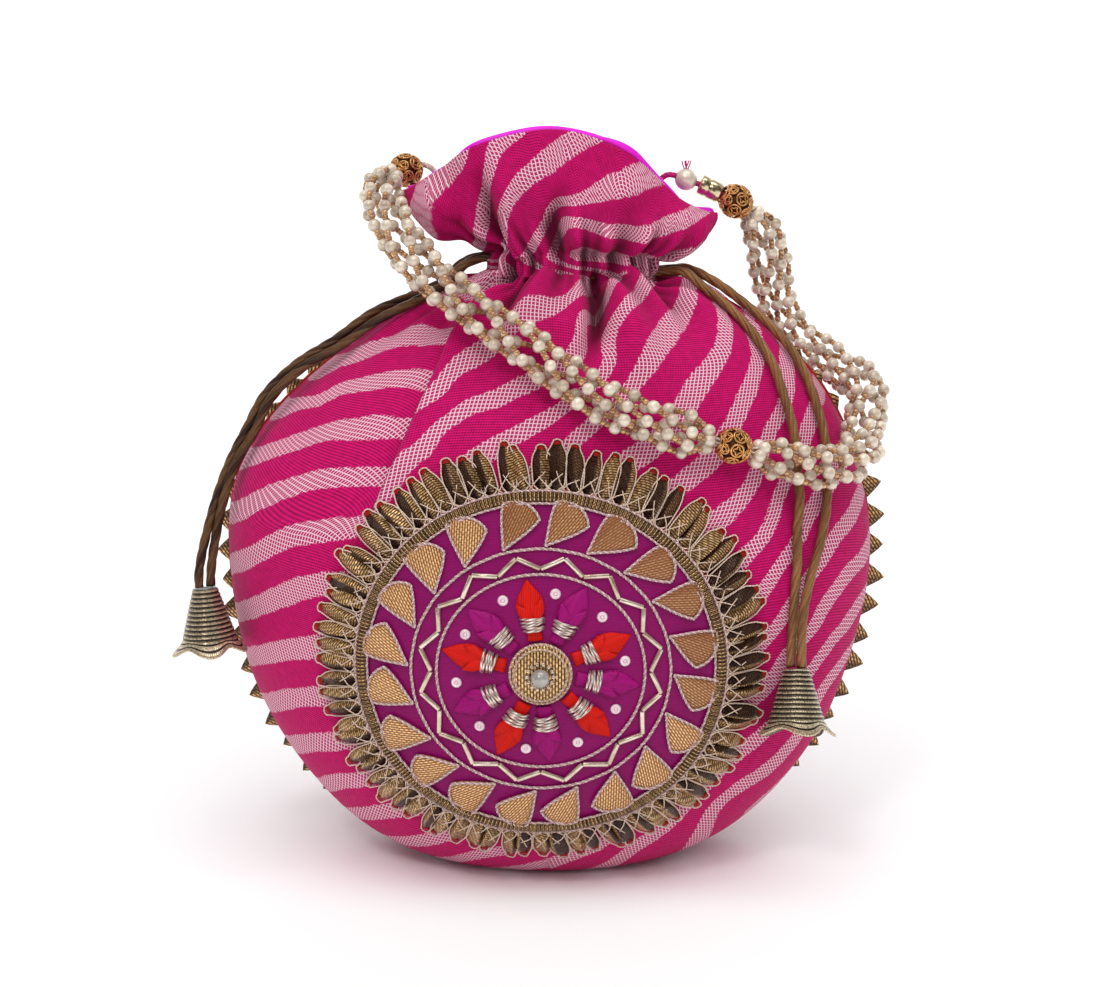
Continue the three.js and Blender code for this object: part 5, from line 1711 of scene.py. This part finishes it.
            profile = [(0.3, -long + 0.2), (0.3, -long), (0.68, -long), (0.76, -long + 0.15), (0.76, long - 0.15),
                       (0.68, long), (0.3, long), (0.3, long - 0.2)]
            beads.lathe(profile, 8, at, run, tone=0.25 + 0.25 * math.sin(k * 1.7))
        return [vine.piece("vine_twist", Finish.SILVER, replaces=["vine_cord"]),
                inner.piece("inner_twist", Finish.SILVER, replaces=["inner_cord"]),
                beads.piece("bugles", Finish.BUGLE, replaces=["bugle_beads"])]

    def petal_parts(self) -> list[bpy.types.Object]:
        """Makes the ten folded ribbon petals, each with its wire binding.

        Returns:
            The pieces made.
        """
        f = self.form
        made = []
        wires = Skin()
        for k in range(self.petals):
            a = self.petal_start + k / self.petals * TAU + 0.05 * math.sin(2.2 * k)
            out, side = np.array([math.cos(a), math.sin(a)]), np.array([-math.sin(a), math.cos(a)])
            skin = Skin()
            q, s = np.linspace(0, 1, 17)[:, None], np.linspace(-1, 1, 11)[None]
            long = self.petal_tip - self.petal_root + 0.5 * math.sin(3.7 * k)
            r = self.petal_root + long * q
            wide = np.interp(q, [0, 0.22, 0.32, 0.46, 0.6, 0.75, 0.9, 1], [2.2, 1.9, 2.3, 3.7, 4.05, 3.1, 1.35, 0.1])
            curl = 0.5 * math.sin(1.9 * k) * q**2
            centre = r * 1.0
            u = centre * out[0] + (wide * s + curl) * side[0]
            v = centre * out[1] + (wide * s + curl) * side[1]
            crown = (1 - np.abs(s) ** 1.6) * np.interp(q, [0, 0.3, 0.5, 0.8, 1], [0.7, 0.9, 1.5, 0.9, 0.15])
            keel = 0.45 * np.exp(-((s + 0.1) / 0.16) ** 2) * smooth(q, 0.5, 0.65) * (1 - smooth(q, 0.9, 1))
            h = self.on_disc + 0.35 + crown - keel
            weave = stack(wide * s, r * 0.1 + wide * s + 0 * q)
            skin.slab(f.on_front(u, v, h), f.on_front(u, v, self.on_disc - 0.1 + 0 * h), weave=weave)
            for way in (1, -1):
                p = np.linspace(0, 1, 8)[:, None]
                w = np.linspace(0, 1, 6)[None]
                start = 0.27 + 0.05 * (way > 0)
                rr = self.petal_root + long * (start + (0.36 - 0.05 * way) * p * (1 - 0.45 * w))
                share = (rr - self.petal_root) / long
                edge = np.interp(share, [0, 0.22, 0.32, 0.46, 0.6, 1], [2.2, 1.9, 2.3, 3.7, 4.05, 0.1])
                cross = way * (edge * (1 - w) - 1.1 * w * (1 - p) * 0.6 - 0.5 * w)
                uu = rr * out[0] + cross * side[0]
                vv = rr * out[1] + cross * side[1]
                lift = self.on_disc + 0.75 + 1.35 * np.sin(np.pi * (0.15 + 0.8 * w)) * (1 - 0.4 * p) + 0.25 * (way > 0)
                grain = stack(cross, cross + rr * 0.2)
                skin.slab(f.on_front(uu, vv, lift + 0.12), f.on_front(uu, vv, lift - 0.35), weave=grain)
            finish = Finish.MAGENTA if k % 2 else Finish.RED
            made.append(skin.piece(f"petal_ribbon_{k + 1}", finish, replaces=[f"petal_{k + 1}"]))
            for m in range(5):
                rr = self.binding_radius + 0.86 * (m - 2) + 0.1 * math.sin(7 * m + k)
                bend = np.linspace(-1, 1, 13)
                fan = 1 + 0.05 * (m - 2)
                cross = 3.15 * bend * fan
                height = self.on_disc + 0.35 + 2.25 * (1 - np.abs(bend) ** 2.6)
                drift = 0.35 * bend * math.sin(2 * m + k)
                uu = (rr + drift) * out[0] + cross * side[0]
                vv = (rr + drift) * out[1] + cross * side[1]
                wires.tube(f.on_front(uu, vv, height), 0.42, 7)
        made.append(wires.piece("bindings", Finish.WIRE))
        return made

    def button(self) -> list[bpy.types.Object]:
        """Makes the woven button, its cord edge, the ring of seeds and the pearl.

        Returns:
            The pieces made.
        """
        f = self.form
        up = f.off_front(0.0, 0.0)
        base = f.on_front(0.0, 0.0, self.on_disc)
        x = unit(f.on_front(0.5, 0.0, self.on_disc) - base)
        x = unit(x - up * (x @ up))
        y = np.cross(up, x)
        r = np.array([0, 1.5, 3, 4.5, 6, 7.2, 8, 8.5, 8.8, 8.6, 7.8])[:, None]
        z = np.array([3.2, 3.2, 3.15, 3.0, 2.75, 2.4, 1.95, 1.5, 0.9, 0.2, 0.0])[:, None]
        a = np.linspace(0, TAU, 72, endpoint=False)[None]
        ripple = 1 + 0.012 * np.cos(36 * a) * (r > 6)
        flat = np.stack([r * ripple * np.cos(a), r * ripple * np.sin(a)], axis=-1)
        points = base + flat[..., :1] * x + flat[..., 1:] * y + (z + 0 * a)[..., None] * up
        bottom = base + flat[..., :1] * x * 0.9 + flat[..., 1:] * y * 0.9 + 0 * points
        button, edge, seeds, pearl = Skin(), Skin(), Skin(), Skin()
        button.slab(points, bottom, True, weave=flat[..., ::-1] * 0.62, tone=0 * (z + a))
        turn = np.linspace(0, TAU, 80, endpoint=False)
        for radius, height, size in ((8.75, 0.8, 0.62), (7.7, 2.25, 0.42)):
            ring = base + radius * (np.cos(turn)[:, None] * x + np.sin(turn)[:, None] * y) + up * height
            edge.twist(ring, size, np.tile(up, (80, 1)), 1.5)
        for k in range(self.seeds):
            t = k / self.seeds * TAU
            at = base + 3.75 * (math.cos(t) * x + math.sin(t) * y) + up * 3.75
            axis = -math.sin(t) * x + math.cos(t) * y
            profile = [(0.3, -0.42), (0.62, -0.42), (0.82, 0.0), (0.62, 0.42), (0.3, 0.42), (0.3, -0.42)]
            seeds.lathe(profile, 10, at, axis, tone=0.2)
        pearl.ball(base + up * 5.6, 2.75, 28)
        return [button.piece("woven_button", Finish.RIBBON, replaces=["centre_button"]),
                edge.piece("button_cord", Finish.ROSE),
                seeds.piece("seed_beads", Finish.BUGLE, replaces=["seed_ring"]),
                pearl.piece("middle_pearl", Finish.CENTRE, replaces=["centre_pearl"])]

    def build(self) -> list[bpy.types.Object]:
        """Makes every piece of the roundel.

        Returns:
            The pieces made.
        """
        ground = self.disc()
        made = [ground, self.sequins(), *self.frill(), *self.braid(), *self.leaf_parts(), *self.vine()]
        return [*made, *self.petal_parts(), *self.button()]


@dataclass
class Tassel:
    """A bell tassel rolled from ribbed metal ribbon, with a wavy flared mouth."""

    node: str
    top: tuple[float, float, float]
    foot: tuple[float, float, float]
    top_radius: float = 3.6
    cone_radius: float = 8.0
    flare_radius: float = 10.6
    cone_height: float = 15.0
    flare_height: float = 3.6
    ribs: int = 11
    waves: int = 5
    wall: float = 0.7

    def build(self) -> bpy.types.Object:
        """Makes the tassel and stands it for its solid.

        Returns:
            The piece made.
        """
        down = unit(np.subtract(self.foot, self.top))
        x = unit(np.cross(down, [0.2, 1.0, 0.1]))
        y = np.cross(down, x)
        cone = np.linspace(0, self.cone_height, self.ribs * 6 + 1)
        flare = np.linspace(0, self.flare_height, 9)[1:]
        depth = np.concatenate([[0.0], cone, self.cone_height + flare])[:, None]
        share = np.clip(depth / self.cone_height, 0, 1)
        open_mouth = np.clip((depth - self.cone_height) / self.flare_height, 0, 1)
        radius = self.top_radius + (self.cone_radius - self.top_radius) * share
        radius = radius + (self.flare_radius - self.cone_radius) * open_mouth**1.4
        rib = np.abs(np.sin(np.pi * depth / (self.cone_height / self.ribs)))
        radius = radius + 0.28 * rib * (open_mouth <= 0)
        radius[0] = 0.2
        a = np.linspace(0, TAU, 90, endpoint=False)[None]
        wave = np.cos(self.waves * a + 0.6 * np.sin(2 * a)) * open_mouth
        r = radius + 1.1 * wave
        z = depth + 1.1 * wave
        ring = np.cos(a)[..., None] * x + np.sin(a)[..., None] * y
        outer = np.array(self.top) + r[..., None] * ring + z[..., None] * down
        inner_r, inner_z = np.maximum(r - self.wall, 0.1), np.maximum(z, 1.5) + 0 * a
        inner = np.array(self.top) + inner_r[..., None] * ring + inner_z[..., None] * down
        skin = Skin()
        # Painted shade darkens the grooves between the ribs of the cone; the flare is darker towards its rim.
        tone = 0.92 * (1 - rib**1.6) * (open_mouth <= 0) + 0.3 * open_mouth + 0 * a
        skin.slab(outer, inner, True, weave=stack(a * 7, depth + 0 * a), tone=tone)
        edge = outer[-1] + (inner[-1] - outer[-1]) * 0.5
        skin.tube(edge, 0.42, 6, np.tile(-down, (90, 1)), True, tone=0.0)
        return skin.piece(f"{self.node}_ribbon", Finish.TASSEL, replaces=[self.node])


LEFT_STRING_OUT = (
    (-103.3, -17.6, 91.7), (-103.2, -17.2, 95.6), (-102.4, -16.4, 102), (-100.8, -15.2, 110.6), (-98.6, -14, 119.6),
    (-95.2, -13, 129), (-89.8, -11.4, 138), (-84.2, -12, 148.8), (-74.6, -11.8, 158), (-63.2, -11.3, 164.4),
    (-51.6, -10.4, 172.4), (-40.5, -9.3, 177.8), (-31.5, -7.9, 182.8), (-25.5, -6.4, 188.6), (-19.9, -4.4, 190.6),
)
LEFT_STRING_BACK = (
    (-19.9, 2.4, 190.6), (-26, 1.6, 188.8), (-32.8, -0.8, 182.8), (-42.3, -2.1, 178.6), (-53.3, -6.2, 174.2),
    (-65, -8.4, 166), (-76.6, -9, 158.8), (-86.4, -9.4, 149.4), (-92.2, -9.6, 139), (-97.2, -10.8, 129.4),
    (-101, -12.6, 119.6), (-103.8, -14.8, 110), (-105.9, -17, 101), (-106.6, -18.9, 95.4), (-106.5, -19.6, 91.7),
)
RIGHT_STRING_OUT = (
    (71.9, -39.6, 72.3), (72.1, -38.8, 78), (72.5, -38, 86), (72.9, -37.5, 94.7), (73.4, -37.7, 103.7),
    (73.4, -35.9, 113), (74.1, -34.6, 121.6), (73.6, -31.7, 129.6), (73.2, -30.2, 137.1), (71.7, -27.4, 145),
    (69.3, -24.2, 153), (66.9, -21.6, 159.9), (63.4, -18.2, 165.9), (58.9, -15.1, 171.7), (53.1, -12, 177.2),
    (47.5, -10.2, 181.3), (41, -7.2, 186.4), (35.6, -4.4, 186.4),
)
RIGHT_STRING_BACK = (
    (35.6, 2.4, 186.4), (42, 1.8, 186.8), (50.7, -1.4, 182.9), (58.2, -3.6, 177.6), (65.2, -7, 172),
    (71.8, -10.2, 165.2), (76.9, -13.9, 157.1), (80.6, -17.7, 147.2), (82.6, -21.6, 138.5), (83.1, -24.6, 129.2),
    (82.8, -28.4, 118.9), (80.8, -32.2, 108.4), (77.6, -36.6, 99), (75.4, -39.6, 89.6), (74.8, -40.8, 80.6),
    (75.0, -40.6, 72.3),
)


@dataclass
class Drawstring:
    """A soft braided cord that runs from its tassel through the casing, right round, and back to the tassel."""

    form: BagForm
    node: str
    out: Sequence[tuple[float, float, float]]
    back: Sequence[tuple[float, float, float]]
    side: int
    casing_height: float
    diameter: float = 3.0
    casing_depth: float = 4.0
    strands: int = 4
    # How much painted shade darkens the whole cord.
    painted_shade: float = 0.0

    def casing(self) -> list[tuple[float, float, float]]:
        """The stretch hidden in the casing, from one side of its slit round to the other.

        Returns:
            The points in order.
        """
        turn = (np.pi if self.side < 0 else 0) + np.radians(38 + 284 * np.arange(13) / 12)
        t = np.full(13, 1 + (self.casing_height - self.form.casing_bottom) / self.form.casing_height)
        p = self.form.point(turn, t, -self.casing_depth)
        ring = [(float(a), float(b), self.casing_height) for a, b, _ in p]
        return ring if self.side < 0 else ring[::-1]

    def build(self, tassel: bpy.types.Object) -> bpy.types.Object:
        """Args:
            tassel: The tassel on its ends. Not used.

        Returns:
            The cord.
        """
        line = curve([*self.out, *self.casing(), *self.back], 0.9)
        normal, side = carried(line)
        at = along(line)
        skin = Skin()
        for k in range(self.strands):
            turn = at / 21 * TAU + k / self.strands * TAU
            path = line + 0.62 * (np.cos(turn)[:, None] * normal + np.sin(turn)[:, None] * side)
            skin.tube(path, 0.86, 10, normal, tone=self.painted_shade + 0.16 + 0.14 * (k % 3))
        cord = skin.piece(f"{self.node}_cord", Finish.CORD, replaces=[self.node])
        path = respaced(line, 2.0) * MM
        LOG.info("%s is %.0f mm long", self.node, at[-1])
        return cord


HANDLE_RIGHT = (
    (56.9, 4, 207), (65, 9, 198.6), (68.6, 15, 187.6), (70.6, 19, 176.4), (75, 20, 166.6), (81.7, 17.8, 160.1),
    (90.1, 11, 155.3), (97.7, -1.6, 149.5), (95.5, -11.3, 142), (92.3, -26.4, 134.9), (82.2, -38.2, 132.5),
    (67.8, -41.4, 134.9), (53.3, -45.6, 139.9),
)
HANDLE_LEFT = (
    (53.3, -45.6, 139.9), (37.8, -48, 144.2), (23.3, -48.5, 149.4), (8.9, -46.8, 157), (-4.9, -42, 166.6),
    (-16.6, -36.6, 174.2), (-27.1, -32, 181.3), (-36.7, -25, 188.8), (-44.2, -17, 198.1), (-49.4, -8, 207),
    (-48.6, 3, 214), (-43.9, 10, 216),
)
RIGHT_CORE = ((34.6, 3, 199.5), (32.6, 4, 205.5), (32.8, 4.8, 211.6), (36, 4.4, 215), (41.7, 4, 213.6), (49, 4, 210.8),
              (55.7, 4, 207.6))
LEFT_CORE = ((-26.5, 9.9, 203.5), (-30, 10.6, 209), (-34, 13, 214.4), (-38, 15, 217.4), (-41.2, 14, 217.3),
             (-43.2, 11, 216.3))


@dataclass
class Handle:
    """The carrying handle: six strands of pearls twisted loosely between three pierced balls."""

    form: BagForm
    strands: int = 6
    pearl: float = 2.0
    spacer: float = 0.95
    thread: float = 0.3
    pitch: float = 6.7
    bundle: float = 5.2
    spread: float = 10.0
    turns: float = 1.6
    ball_radius: float = 5.3

    def strand(self, k: int) -> bpy.types.Object:
        """Args:
            k: Its number, from 0.

        Returns:
            The strand.
        """
        skin = Skin()
        whole = []
        for part, route in enumerate((HANDLE_RIGHT, HANDLE_LEFT)):
            line = curve(route, 0.5)
            normal, side = carried(line)
            at = along(line)
            long = at[-1]
            in_ball = self.ball_radius + 0.3
            spread = np.clip((np.minimum(at, long - at) - in_ball) / self.spread, 0, 1)
            radius = 1.1 + (self.bundle - 1.1) * np.sin(spread * np.pi / 2)
            loose = 0.55 * np.sin(at / (9 + 1.3 * k) + 2.1 * k) * spread
            sway = 0.16 * np.sin(at / 13 + 1.7 * k) * spread
            turn = k / self.strands * TAU + (part + at / long) * self.turns * TAU + sway
            path = line + (radius + loose)[:, None] * (np.cos(turn)[:, None] * normal + np.sin(turn)[:, None] * side)
            start = 1.2 if part == 0 else 0.0
            end = long if part == 0 else long - 1.2
            whole.append(path[(at >= start) & (at <= end)])
            run = along(path)
            first, last = np.interp([in_ball + 1.6, long - in_ball - 1.6], at, run)
            count = max(2, round((last - first - 2 * self.pearl) / self.pitch))
            shift = 0.55 * math.sin(2.4 * k + part)
            places = np.linspace(first + self.pearl * 0.6, last - self.pearl * 0.6, count + 1) + shift
            tangent = unit(np.gradient(path, axis=0))

            def spot(distance: float) -> tuple[np.ndarray, np.ndarray]:
                """The place and heading at a distance along the strand."""
                return (np.array([np.interp(distance, run, path[:, m]) for m in range(3)]),
                        np.array([np.interp(distance, run, tangent[:, m]) for m in range(3)]))

            for distance in (0.8, 2.4, long - 2.4, long - 0.8):
                centre, heading = spot(float(np.interp(distance, at, run)))
                skin.ball(centre, 0.95, 10, slot=1, tone=0.5)
            turn_list = np.linspace(0, math.pi, 10)
            for i, place in enumerate(places):
                centre, heading = spot(place)
                size = self.pearl * (0.97 + 0.05 * math.sin(5 * i + 3 * k))
                profile = np.stack([size * np.sin(turn_list), -size * np.cos(turn_list) * 0.97], axis=1)
                skin.lathe(profile, 16, centre, heading, tone=0.25 + 0.25 * math.sin(3 * i + k))
                if i == len(places) - 1:
                    continue
                gap = places[i + 1] - place - 2 * self.pearl + 0.2
                for m in range(2):
                    centre, heading = spot(place + self.pearl - 0.05 + gap * (m + 0.5) / 2)
                    half = gap / 4 - 0.04
                    rocaille = [(0.3, -half), (self.spacer * 0.85, -half), (self.spacer, -half * 0.4),
                                (self.spacer, half * 0.4), (self.spacer * 0.85, half), (0.3, half)]
                    skin.lathe(rocaille, 9, centre, heading, tone=0.4 + 0.4 * math.sin(7 * i + 4 * m + k), slot=1)
        path = np.vstack([whole[0], whole[1][1:]])
        skin.tube(respaced(path, 0.8), self.thread, 5, slot=2)
        made = skin.piece(f"pearl_string_{k + 1}", Finish.PEARL, Finish.SPACER, Finish.SILVER,
                          replaces=[f"pearl_strand_{k + 1}"])
        line = respaced(path, 1.0)
        return made

    def filigree(
        self, node: str, at: Sequence[float], before: Sequence[float], after: Sequence[float]
    ) -> bpy.types.Object:
        """Makes a pierced ball of gilt wire.

        Args:
            node: The solid that it stands for.
            at: Its middle.
            before: Where the threads come from.
            after: Where they go.

        Returns:
            The ball.
        """
        middle = np.array(at, float)
        z = unit(unit(np.subtract(after, at)) + unit(np.subtract(at, before)))
        x = unit(np.cross(z, [0.1, 1.0, 0.3]))
        y = np.cross(z, x)
        radius = self.ball_radius
        skin = Skin()
        turn = np.linspace(0, TAU, 18, endpoint=False)
        for row, (tilt, count, size) in enumerate(((0.0, 7, 0.40), (0.78, 6, 0.30), (-0.78, 6, 0.30))):
            for j in range(count):
                spin = (j + 0.5 * (row > 0)) / count * TAU
                out = math.cos(tilt) * (math.cos(spin) * x + math.sin(spin) * y) + math.sin(tilt) * z
                east = unit(np.cross(z, out))
                north = np.cross(out, east)
                for scale, wave in ((1.0, 0.0), (0.52, 0.35)):
                    petal = size * scale * (1 + wave * np.cos(4 * turn))
                    ring = unit(out + petal[:, None] * (np.cos(turn)[:, None] * east + np.sin(turn)[:, None] * north))
                    skin.tube(middle + ring * (radius - 0.3), 0.33 if scale == 1 else 0.26, 5, ring, True)
        for end in (1, -1):
            for r, h in ((2.3, 4.72), (3.3, 4.12)):
                ring = middle + r * (np.cos(turn)[:, None] * x + np.sin(turn)[:, None] * y) + z * h * end
                skin.tube(ring, 0.34, 5, np.tile(z, (18, 1)), True)
        made = skin.piece(f"{node}_filigree", Finish.GILT, replaces=[node])
        # A dark core of painted shade inside the ball darkens its openings.
        core = Skin()
        rows = np.linspace(-0.86, 0.86, 9)
        core.lathe([(math.sqrt(1 - s * s) * (radius - 1.0), s * (radius - 1.0)) for s in rows], 20, middle, z)
        core.lathe([(math.sqrt(1 - s * s) * (radius - 1.5), s * (radius - 1.2)) for s in rows], 20, middle, z)
        core.piece(f"{node}_inside", Finish.HOLLOW)
        return made

    def ends(self) -> list[bpy.types.Object]:
        """Makes the sewn ends: cores, the end pearl, the tube bead and the tuft of thread.

        Returns:
            The pieces made.
        """
        right, left, pearl, tube, tuft = (Skin() for _ in range(5))
        for skin, route in ((right, RIGHT_CORE), (left, LEFT_CORE)):
            line = curve(route, 0.5)
            normal, _ = carried(line)
            skin.twist(line, 0.95, normal, 4.0, False, 3)
        at, towards = np.array(RIGHT_CORE[4]), np.array(RIGHT_CORE[5])
        turn = np.linspace(0.42, math.pi - 0.42, 12)
        pearl.lathe([(3.45 * math.sin(t), -3.45 * math.cos(t)) for t in turn], 28, at, towards - at)
        profile = [
            (1.5, -3.3), (2.7, -3.5), (3.1, -3.2), (3.1, -1.2), (2.92, -1.0), (2.92, -0.4), (3.1, -0.2), (3.1, 3.1),
            (2.75, 3.5), (1.5, 3.3), (1.5, -3.3),
        ]
        tube.lathe(profile, 30, towards, np.array(HANDLE_RIGHT[0]) - towards)
        for k in range(7):
            lean = np.array([math.sin(2.1 * k), math.cos(1.7 * k) * 0.7, 2.0])
            start = at + np.array([0.4 * math.sin(k), -0.6, 2.9])
            end = start + lean * 1.5 + [0.4 * math.sin(4 * k), 0, -0.2]
            tuft.tube(curve([start, start + lean * 0.8, end], 0.6), 0.2, 5)
        made = [right.piece("sewn_end_right", Finish.PINK_THREAD, replaces=["end_core_right"]),
                left.piece("sewn_end_left", Finish.SILVER, replaces=["end_core_left"]),
                pearl.piece("big_pearl", Finish.PEARL, replaces=["end_pearl_right"]),
                tube.piece("tube_bead", Finish.TUBE, replaces=["end_tube_right"])]
        return [*made, tuft.piece("thread_tuft", Finish.PINK_THREAD)]

    def build(self) -> list[bpy.types.Object]:
        """Makes every piece of the handle.

        Returns:
            The pieces made.
        """
        made = [self.strand(k) for k in range(self.strands)]
        made.append(self.filigree("ball_right", HANDLE_RIGHT[0], RIGHT_CORE[5], HANDLE_RIGHT[1]))
        made.append(self.filigree("ball_middle", HANDLE_LEFT[0], HANDLE_RIGHT[-2], HANDLE_LEFT[1]))
        made.append(self.filigree("ball_left", HANDLE_LEFT[-1], HANDLE_LEFT[-2], LEFT_CORE[4]))
        return [*made, *self.ends()]


@dataclass
class Studio:
    """The plain floor, the soft light and the camera."""

    target: tuple[float, float, float] = (0.0003, 0.0, 0.117)
    distance: float = 0.7
    elevation: float = math.radians(11)
    lens: float = 73.7
    world: float = 0.42
    sun: float = 2.0
    spark: float = 0.4

    def camera(self) -> None:
        """Sets the camera at the photograph's angle."""
        data = bpy.data.cameras.new("camera")
        data.lens, data.sensor_width = self.lens, 36
        data.clip_start, data.clip_end = 0.01, 50
        made = bpy.data.objects.new("camera", data)
        back = Vector((0, -math.cos(self.elevation), math.sin(self.elevation)))
        made.location = Vector(self.target) + back * self.distance
        made.rotation_mode = "QUATERNION"
        made.rotation_quaternion = (-back).to_track_quat("-Z", "Y")
        bpy.context.collection.objects.link(made)
        bpy.context.scene.camera = made

    def floor(self) -> None:
        """Lays the pale floor."""
        shade = Shade("floor", Roughness=0.9, Specular_IOR_Level=0.1)
        cloud = shade.noise(shade.place(), 0.5, 1)
        material = shade.done(Base_Color=shade.mix(cloud, (0.97, 0.97, 0.97, 1), (0.96, 0.96, 0.965, 1)))
        turn = np.linspace(0, math.pi / 2, 13)
        profile = [(-6.0, 0.0), *((2.6 + 2.0 * math.sin(c), 2.0 - 2.0 * math.cos(c)) for c in turn), (4.6, 6.0)]
        points = [(x, y, z) for y, z in profile for x in (-9.0, 9.0)]
        faces = [(2 * k, 2 * k + 1, 2 * k + 3, 2 * k + 2) for k in range(len(profile) - 1)]
        mesh = bpy.data.meshes.new("floor")
        mesh.from_pydata(points, [], faces)
        mesh.polygons.foreach_set("use_smooth", [True] * len(faces))
        mesh.materials.append(material)
        made = bpy.data.objects.new("floor", mesh)
        bpy.context.collection.objects.link(made)

    def flag(self, name: str, place: tuple[float, float, float], size: tuple[float, float], value: float) -> None:
        """Hangs a card that only shows in reflections.

        Args:
            name: The card's name.
            place: Where it hangs. It faces the bag.
            size: Its width and height.
            value: How dark it is.
        """
        shade = Shade(name, Roughness=1.0, Base_Color=(value, value * 0.8, value * 0.6, 1), Specular_IOR_Level=0.0)
        w, h = size[0] / 2, size[1] / 2
        mesh = bpy.data.meshes.new(name)
        mesh.from_pydata([(-w, -h, 0), (w, -h, 0), (w, h, 0), (-w, h, 0)], [], [(0, 1, 2, 3)])
        mesh.materials.append(shade.material)
        made = bpy.data.objects.new(name, mesh)
        made.location = place
        made.rotation_mode = "QUATERNION"
        made.rotation_quaternion = (Vector((0, 0, 0.1)) - Vector(place)).to_track_quat("Z", "Y")
        made.visible_camera = made.visible_diffuse = made.visible_shadow = made.visible_transmission = False
        bpy.context.collection.objects.link(made)

    def lights(self) -> None:
        """Sets the soft daylight, the broad key light and a small light that makes the highlights."""
        world = bpy.data.worlds.new("world")
        world.use_nodes = True
        world.node_tree.nodes["Background"].inputs["Color"].default_value = (1, 1, 1, 1)
        world.node_tree.nodes["Background"].inputs["Strength"].default_value = self.world
        bpy.context.scene.world = world
        for name, energy, angle, direction in (
            ("key", self.sun, 1.1, (-0.06, 0.56, -1.0)),
            ("spark", self.spark, 0.16, (0.3, 0.8, -0.85)),
        ):
            data = bpy.data.lights.new(name, "SUN")
            data.energy, data.angle = energy, angle
            made = bpy.data.objects.new(name, data)
            made.rotation_mode = "QUATERNION"
            made.rotation_quaternion = Vector(direction).to_track_quat("-Z", "Y")
            bpy.context.collection.objects.link(made)

    def build(self) -> None:
        """Sets up the whole studio."""
        self.camera()
        self.floor()
        self.lights()
        self.flag("dark_high", (0.1, -1.0, 1.1), (3.4, 1.5), 0.015)
        self.flag("dark_left", (-1.3, -0.9, 0.35), (0.7, 1.1), 0.03)
        self.flag("dark_right", (1.3, -0.7, 0.4), (0.7, 1.2), 0.03)
        self.flag("dark_front", (0.0, -1.6, 0.25), (0.5, 0.9), 0.05)
        scene = bpy.context.scene
        scene.view_settings.view_transform = "Standard"
        scene.view_settings.look = "None"


def main() -> None:
    """Builds the bag over its solids and sets the studio round it."""
    logging.basicConfig(level=logging.INFO, format="%(name)s: %(message)s")
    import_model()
    form = BagForm()
    Studio().build()
    tassel_left = Tassel("tassel_left", (-104.9, -18.6, 91.2), (-103.6, -19.8, 73.0)).build()
    tassel_right = Tassel("tassel_right", (73.6, -39.5, 71.6), (73.4, -44.9, 54.2)).build()
    # Painted shade darkens the whole left cord.
    Drawstring(form, "drawstring_left", LEFT_STRING_OUT, LEFT_STRING_BACK, -1, 190.7, painted_shade=0.5).build(tassel_left)
    Drawstring(form, "drawstring_right", RIGHT_STRING_OUT, RIGHT_STRING_BACK, 1, 186.3).build(tassel_right)
    pieces = [*ClothBody(form).build(), *SeamTrim(form).build(), *Roundel(form).build(), *Handle(form).build()]
    LOG.info("%d pieces besides the drawstrings and tassels", len(pieces))


if __name__ == "__main__":
    main()
